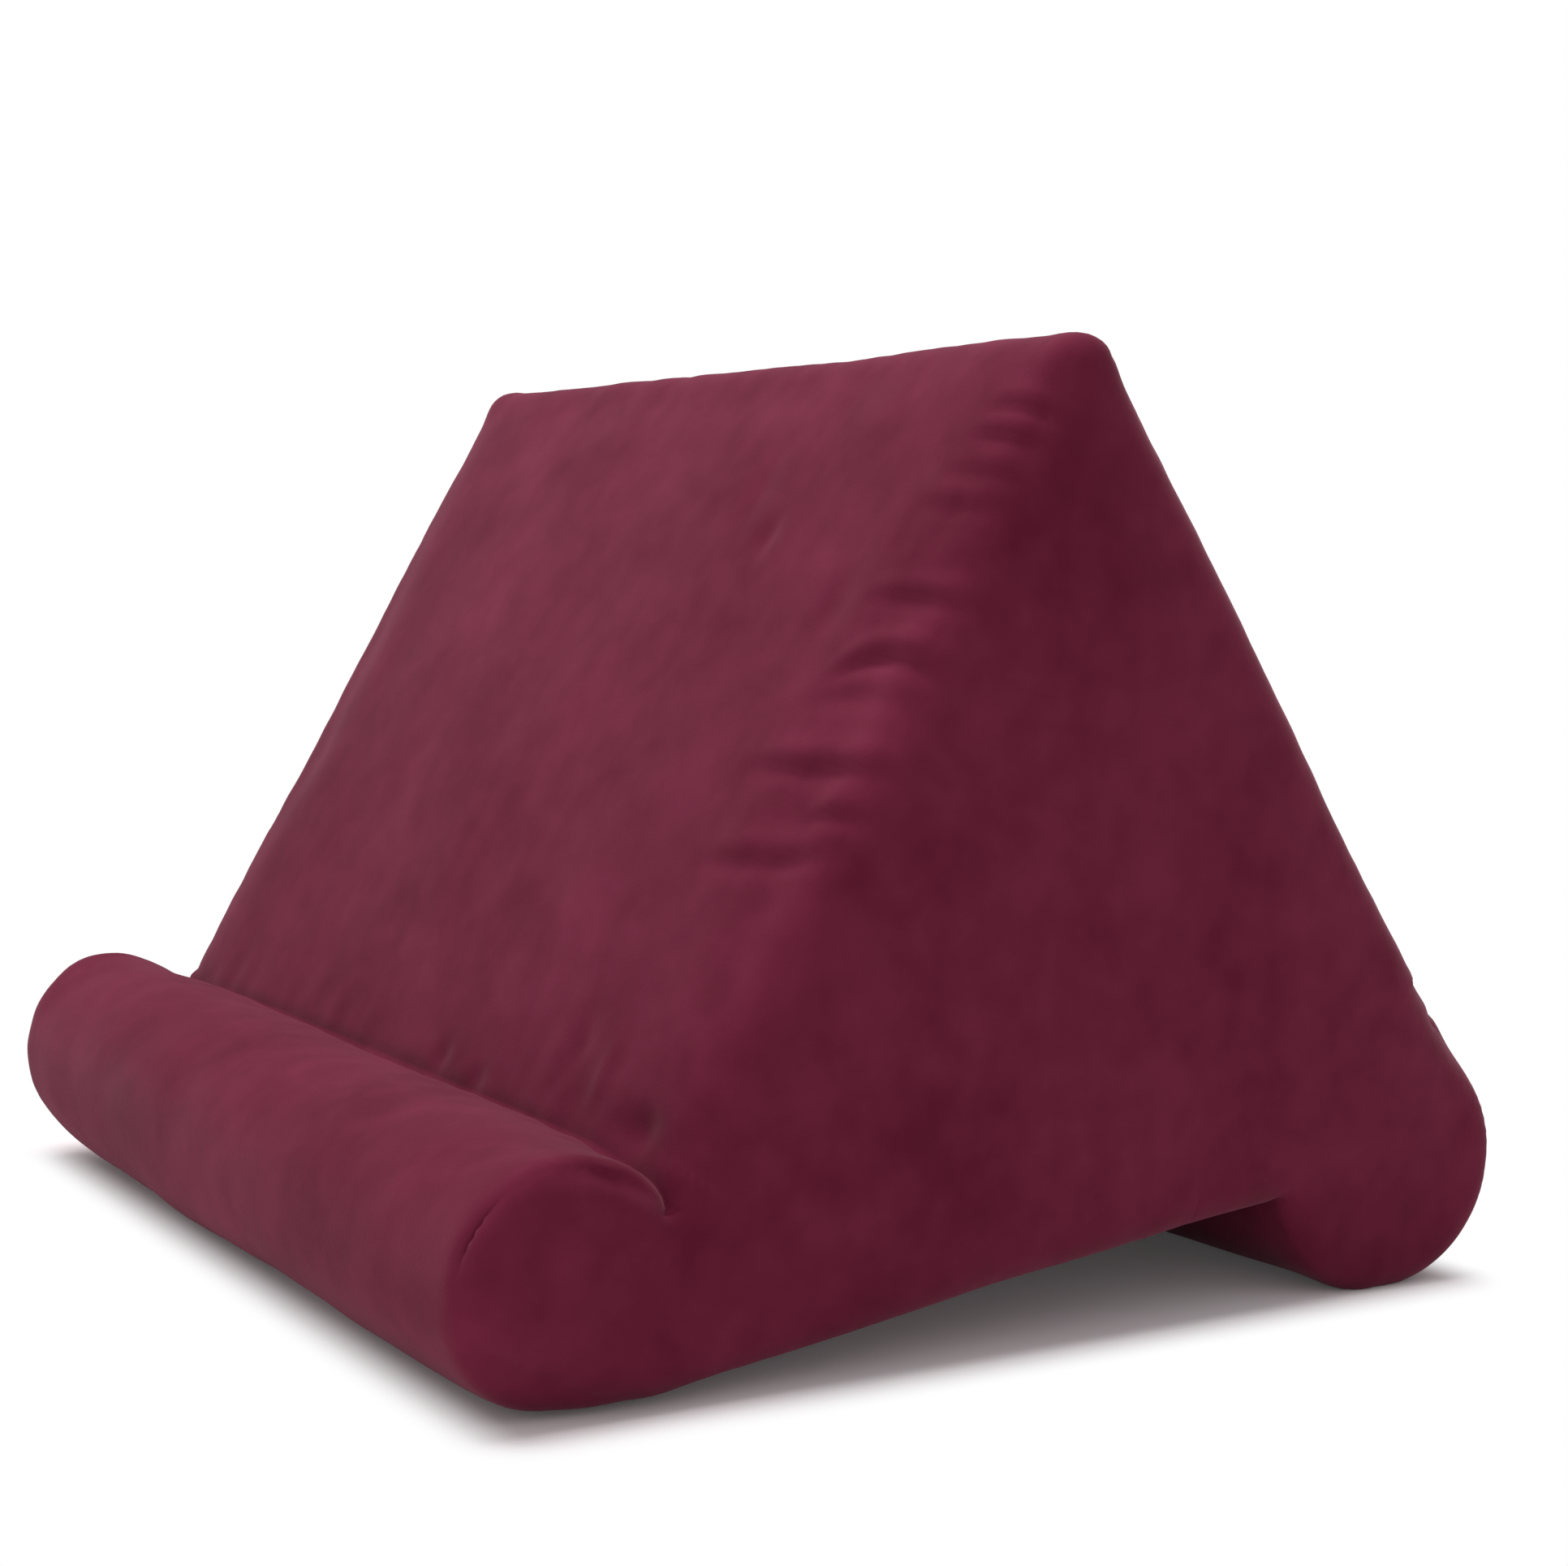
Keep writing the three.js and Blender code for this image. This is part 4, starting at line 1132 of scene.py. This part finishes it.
def pile_material():
    """Short velvet: a dark ground, paler where the nap lies another way, with a soft sheen."""
    material, nodes, links = new_material("pile")
    shader = nodes["Principled BSDF"]
    set_inputs(shader, Roughness=0.9, Specular_IOR_Level=0.03)
    set_inputs(shader, Sheen_Weight=0.14, Sheen_Roughness=0.4, Sheen_Tint=SHEEN_TINT)
    place = add_node(nodes, "TexCoord")
    brushed = add_noise(nodes, links, place, 3, BRUSHED_SCALE)
    blotches = add_noise(nodes, links, place, 2, BLOTCH_SCALE)
    fibres = add_noise(nodes, links, place, 2, FIBRE_SCALE)
    blend = add_node(nodes, "Mix")
    blend.data_type = "FLOAT"
    blend.inputs["Factor"].default_value = 0.35
    nap = add_node(nodes, "ValToRGB")
    nap.color_ramp.elements[0].position = 0.35
    nap.color_ramp.elements[0].color = DARK_NAP
    nap.color_ramp.elements[1].position = 0.68
    nap.color_ramp.elements[1].color = PALE_NAP
    bump = add_node(nodes, "Bump", Strength=0.25, Distance=FIBRE_RELIEF * MM)
    links.new(brushed.outputs["Fac"], blend.inputs["A"])
    links.new(blotches.outputs["Fac"], blend.inputs["B"])
    links.new(blend.outputs["Result"], nap.inputs["Fac"])
    links.new(nap.outputs["Color"], shader.inputs["Base Color"])
    links.new(fibres.outputs["Fac"], bump.inputs["Height"])
    links.new(bump.outputs["Normal"], shader.inputs["Normal"])
    return material


# Floor, lights and camera
def seen_rays(nodes, links):
    """1 for what the camera sees, straight or mirrored in metal."""
    path = add_node(nodes, "LightPath")
    either = add_math(nodes, "MAXIMUM")
    links.new(path.outputs["Is Camera Ray"], either.inputs[0])
    links.new(path.outputs["Is Glossy Ray"], either.inputs[1])
    return either.outputs["Value"]


def floor_material():
    """A pale floor, pink as painted bounce light: the cushion's shadow by it, a painted white glow further
    out that also lightens the shadow, and clear from below.
    """
    material, nodes, links = new_material("floor")
    shader = nodes["Principled BSDF"]
    # The base colour's pink tint is painted bounce light from the cushion
    set_inputs(shader, Base_Color=FLOOR_COLOUR_PAINTED_BOUNCE, Roughness=1, Specular_IOR_Level=0)
    place = add_node(nodes, "TexCoord")
    size = add_math(nodes, "ABSOLUTE", "VectorMath")
    past = add_math(nodes, "SUBTRACT", "VectorMath")
    past.inputs[1].default_value = (HALF_WIDTH * MM - FLOOR_INSET[0], DEPTH / 2 * MM - FLOOR_INSET[1], 0)
    outside = add_math(nodes, "MAXIMUM", "VectorMath")
    outside.inputs[1].default_value = (0, 0, 0)
    distance = add_math(nodes, "LENGTH", "VectorMath")
    fade = add_node(nodes, "MapRange", From_Min=FLOOR_FADE[0], From_Max=FLOOR_FADE[1], To_Min=LEAST_PAINTED_GLOW)
    fade.interpolation_type = "SMOOTHSTEP"
    seen = add_math(nodes, "MULTIPLY")
    # Painted white glow, mixed in by the fade where the camera or a mirrored ray sees the floor
    white = add_node(nodes, "Emission", Color=WHITE, Strength=1)
    faded = add_node(nodes, "MixShader")
    side = add_node(nodes, "NewGeometry")
    clear = add_node(nodes, "BsdfTransparent")
    sided = add_node(nodes, "MixShader")
    links.new(place.outputs["Object"], size.inputs[0])
    links.new(size.outputs["Vector"], past.inputs[0])
    links.new(past.outputs["Vector"], outside.inputs[0])
    links.new(outside.outputs["Vector"], distance.inputs[0])
    links.new(distance.outputs["Value"], fade.inputs["Value"])
    links.new(fade.outputs["Result"], seen.inputs[0])
    links.new(seen_rays(nodes, links), seen.inputs[1])
    links.new(seen.outputs["Value"], faded.inputs["Fac"])
    links.new(shader.outputs["BSDF"], faded.inputs[1])
    links.new(white.outputs["Emission"], faded.inputs[2])
    links.new(side.outputs["Backfacing"], sided.inputs["Fac"])
    links.new(faded.outputs["Shader"], sided.inputs[1])
    links.new(clear.outputs["BSDF"], sided.inputs[2])
    links.new(sided.outputs["Shader"], nodes["Material Output"].inputs["Surface"])
    return material


def add_floor():
    bpy.ops.mesh.primitive_plane_add(size=FLOOR_SIZE, location=(0, 0, 0))
    floor = bpy.context.object
    floor.name = "floor"
    floor.data.materials.append(floor_material())


def add_lights():
    world = bpy.data.worlds.new("studio")
    bpy.context.scene.world = world
    world.use_nodes = True
    nodes, links = world.node_tree.nodes, world.node_tree.links
    lighting = nodes["Background"]
    set_inputs(lighting, Color=WHITE, Strength=SURROUND)
    backdrop = add_node(nodes, "Background", Color=WHITE, Strength=1)
    mix = add_node(nodes, "MixShader")
    links.new(seen_rays(nodes, links), mix.inputs["Fac"])
    links.new(lighting.outputs[0], mix.inputs[1])
    links.new(backdrop.outputs[0], mix.inputs[2])
    links.new(mix.outputs[0], nodes["World Output"].inputs["Surface"])
    softbox = bpy.data.lights.new("overhead_softbox", "AREA")
    softbox.energy = LAMP_POWER
    softbox.size = LAMP_SIZE
    lamp = new_object("overhead_softbox", softbox)
    lamp.location = LAMP_PLACE
    aim = Vector(LAMP_AIM) - lamp.location
    lamp.rotation_euler = aim.to_track_quat("-Z", "Y").to_euler()


def add_camera():
    azimuth = math.radians(CAMERA_AZIMUTH)
    elevation = math.radians(CAMERA_ELEVATION)
    level = math.cos(elevation)
    back = Vector((math.sin(azimuth) * level, -math.cos(azimuth) * level, math.sin(elevation)))
    right = Vector((math.cos(azimuth), math.sin(azimuth), 0))
    up = back.cross(right)
    aim = right * AIM_RIGHT + Vector((0, 0, AIM_HEIGHT))
    data = bpy.data.cameras.new("camera")
    data.lens = CAMERA_LENS
    data.sensor_width = SENSOR_WIDTH
    data.sensor_fit = "HORIZONTAL"
    camera = new_object("camera", data)
    turn = Matrix((right, up, back)).transposed() @ Matrix.Rotation(math.radians(CAMERA_ROLL), 3, "Z")
    camera.matrix_world = Matrix.Translation(aim + back * CAMERA_DISTANCE) @ turn.to_4x4()
    bpy.context.scene.camera = camera


# Materials by slot: node group, its rate per metre, two colours, roughness, relief in millimetres, metallic
Finish = namedtuple("Finish", "group per_metre dark light roughness relief metallic")
mottle = mottle_group()
weave = weave_group()
FINISHES = {
    "lining": Finish(weave, 260, (0.07, 0.012, 0.022), (0.13, 0.026, 0.044), 0.9, 0.15, 0),
    "foam": Finish(mottle, 160, (0.72, 0.67, 0.55), (0.84, 0.81, 0.72), 0.95, 0.5, 0),
    "batting": Finish(mottle, 60, (0.8, 0.79, 0.75), (0.9, 0.89, 0.86), 1, 0.9, 0),
    "thread": Finish(mottle, 900, (0.085, 0.009, 0.024), (0.13, 0.018, 0.04), 0.7, 0.05, 0),
    "zip_tape": Finish(weave, 420, (0.075, 0.01, 0.024), (0.125, 0.02, 0.042), 0.85, 0.1, 0),
    "zip_coil": Finish(mottle, 500, (0.062, 0.009, 0.02), (0.095, 0.015, 0.031), 0.45, 0.02, 0),
    "zip_metal": Finish(mottle, 240, (0.2, 0.19, 0.175), (0.29, 0.275, 0.26), 0.34, 0.01, 1),
}
materials = {name: plain_material(name, finish) for name, finish in FINISHES.items()}
materials["pile"] = pile_material()

# The whole cover, with a tree that finds places on it
cover = build_cover()
swell(cover)
refine(cover)
paths = seam_paths(cover.data)
dress(cover, paths)
places = coords(cover.data)
normals = vertex_normals(cover.data)
tree = bvhtree.BVHTree.FromPolygons(places.tolist(), [face.vertices for face in cover.data.polygons])

# Fillings and webs
for node, name, slot_name in (
    ("wedge_foam", "foam_core", "foam"),
    ("wedge_wadding", "wadding_layer", "batting"),
    ("ledge_filling", "ledge_fibre", "batting"),
    ("foot_filling", "foot_fibre", "batting"),
):
    piece = tuck_in(node, name, slot_name, tree)
for node in ("ledge_divider", "foot_divider"):
    woven(node, node + "_web", "lining", LINING_CUTS, LINING_RIPPLE)

# Sewing
stitch = one_stitch()
for node, path in paths.items():
    sew(node, stitch, places[path], normals[path], SEAM_THREAD_SINK)
for node, way in (("zip_stitch_front", -1), ("zip_stitch_rear", 1)):
    path = under_path(way * (ZIP_OPENING / 2 + STITCH_FROM_EDGE), tree)
    down = np.tile([0, *base_face.normal], (len(path), 1))
    sew(node, stitch, path, down, ZIP_THREAD_SINK)
bpy.data.objects.remove(stitch)

# Zip
loop = one_coil_loop()
for end, way in (("front", -1), ("rear", 1)):
    woven("zip_tape_" + end, "zip_tape_" + end + "_cloth", "zip_tape", TAPE_CUTS, 0)
    wind_coil("zip_coil_" + end, loop, way)
    machined("zip_top_stop_" + end, "zip_top_stop_" + end + "_clip", "cushion")
bpy.data.objects.remove(loop)
machined("zip_bottom_stop", "zip_bottom_stop_clip", "cushion")
machined("zip_slider", "zip_slider_body", "zip_slider")
machined("zip_pull", "zip_pull_tab", "zip_pull")

# Cover panels
for panel, (piece, under) in enumerate(zip(split_panels(cover), LIES_ON)):
    width, length, area = cut_size(panel)

# Studio
add_floor()
add_lights()
add_camera()
bpy.context.scene.view_settings.view_transform = "Standard"
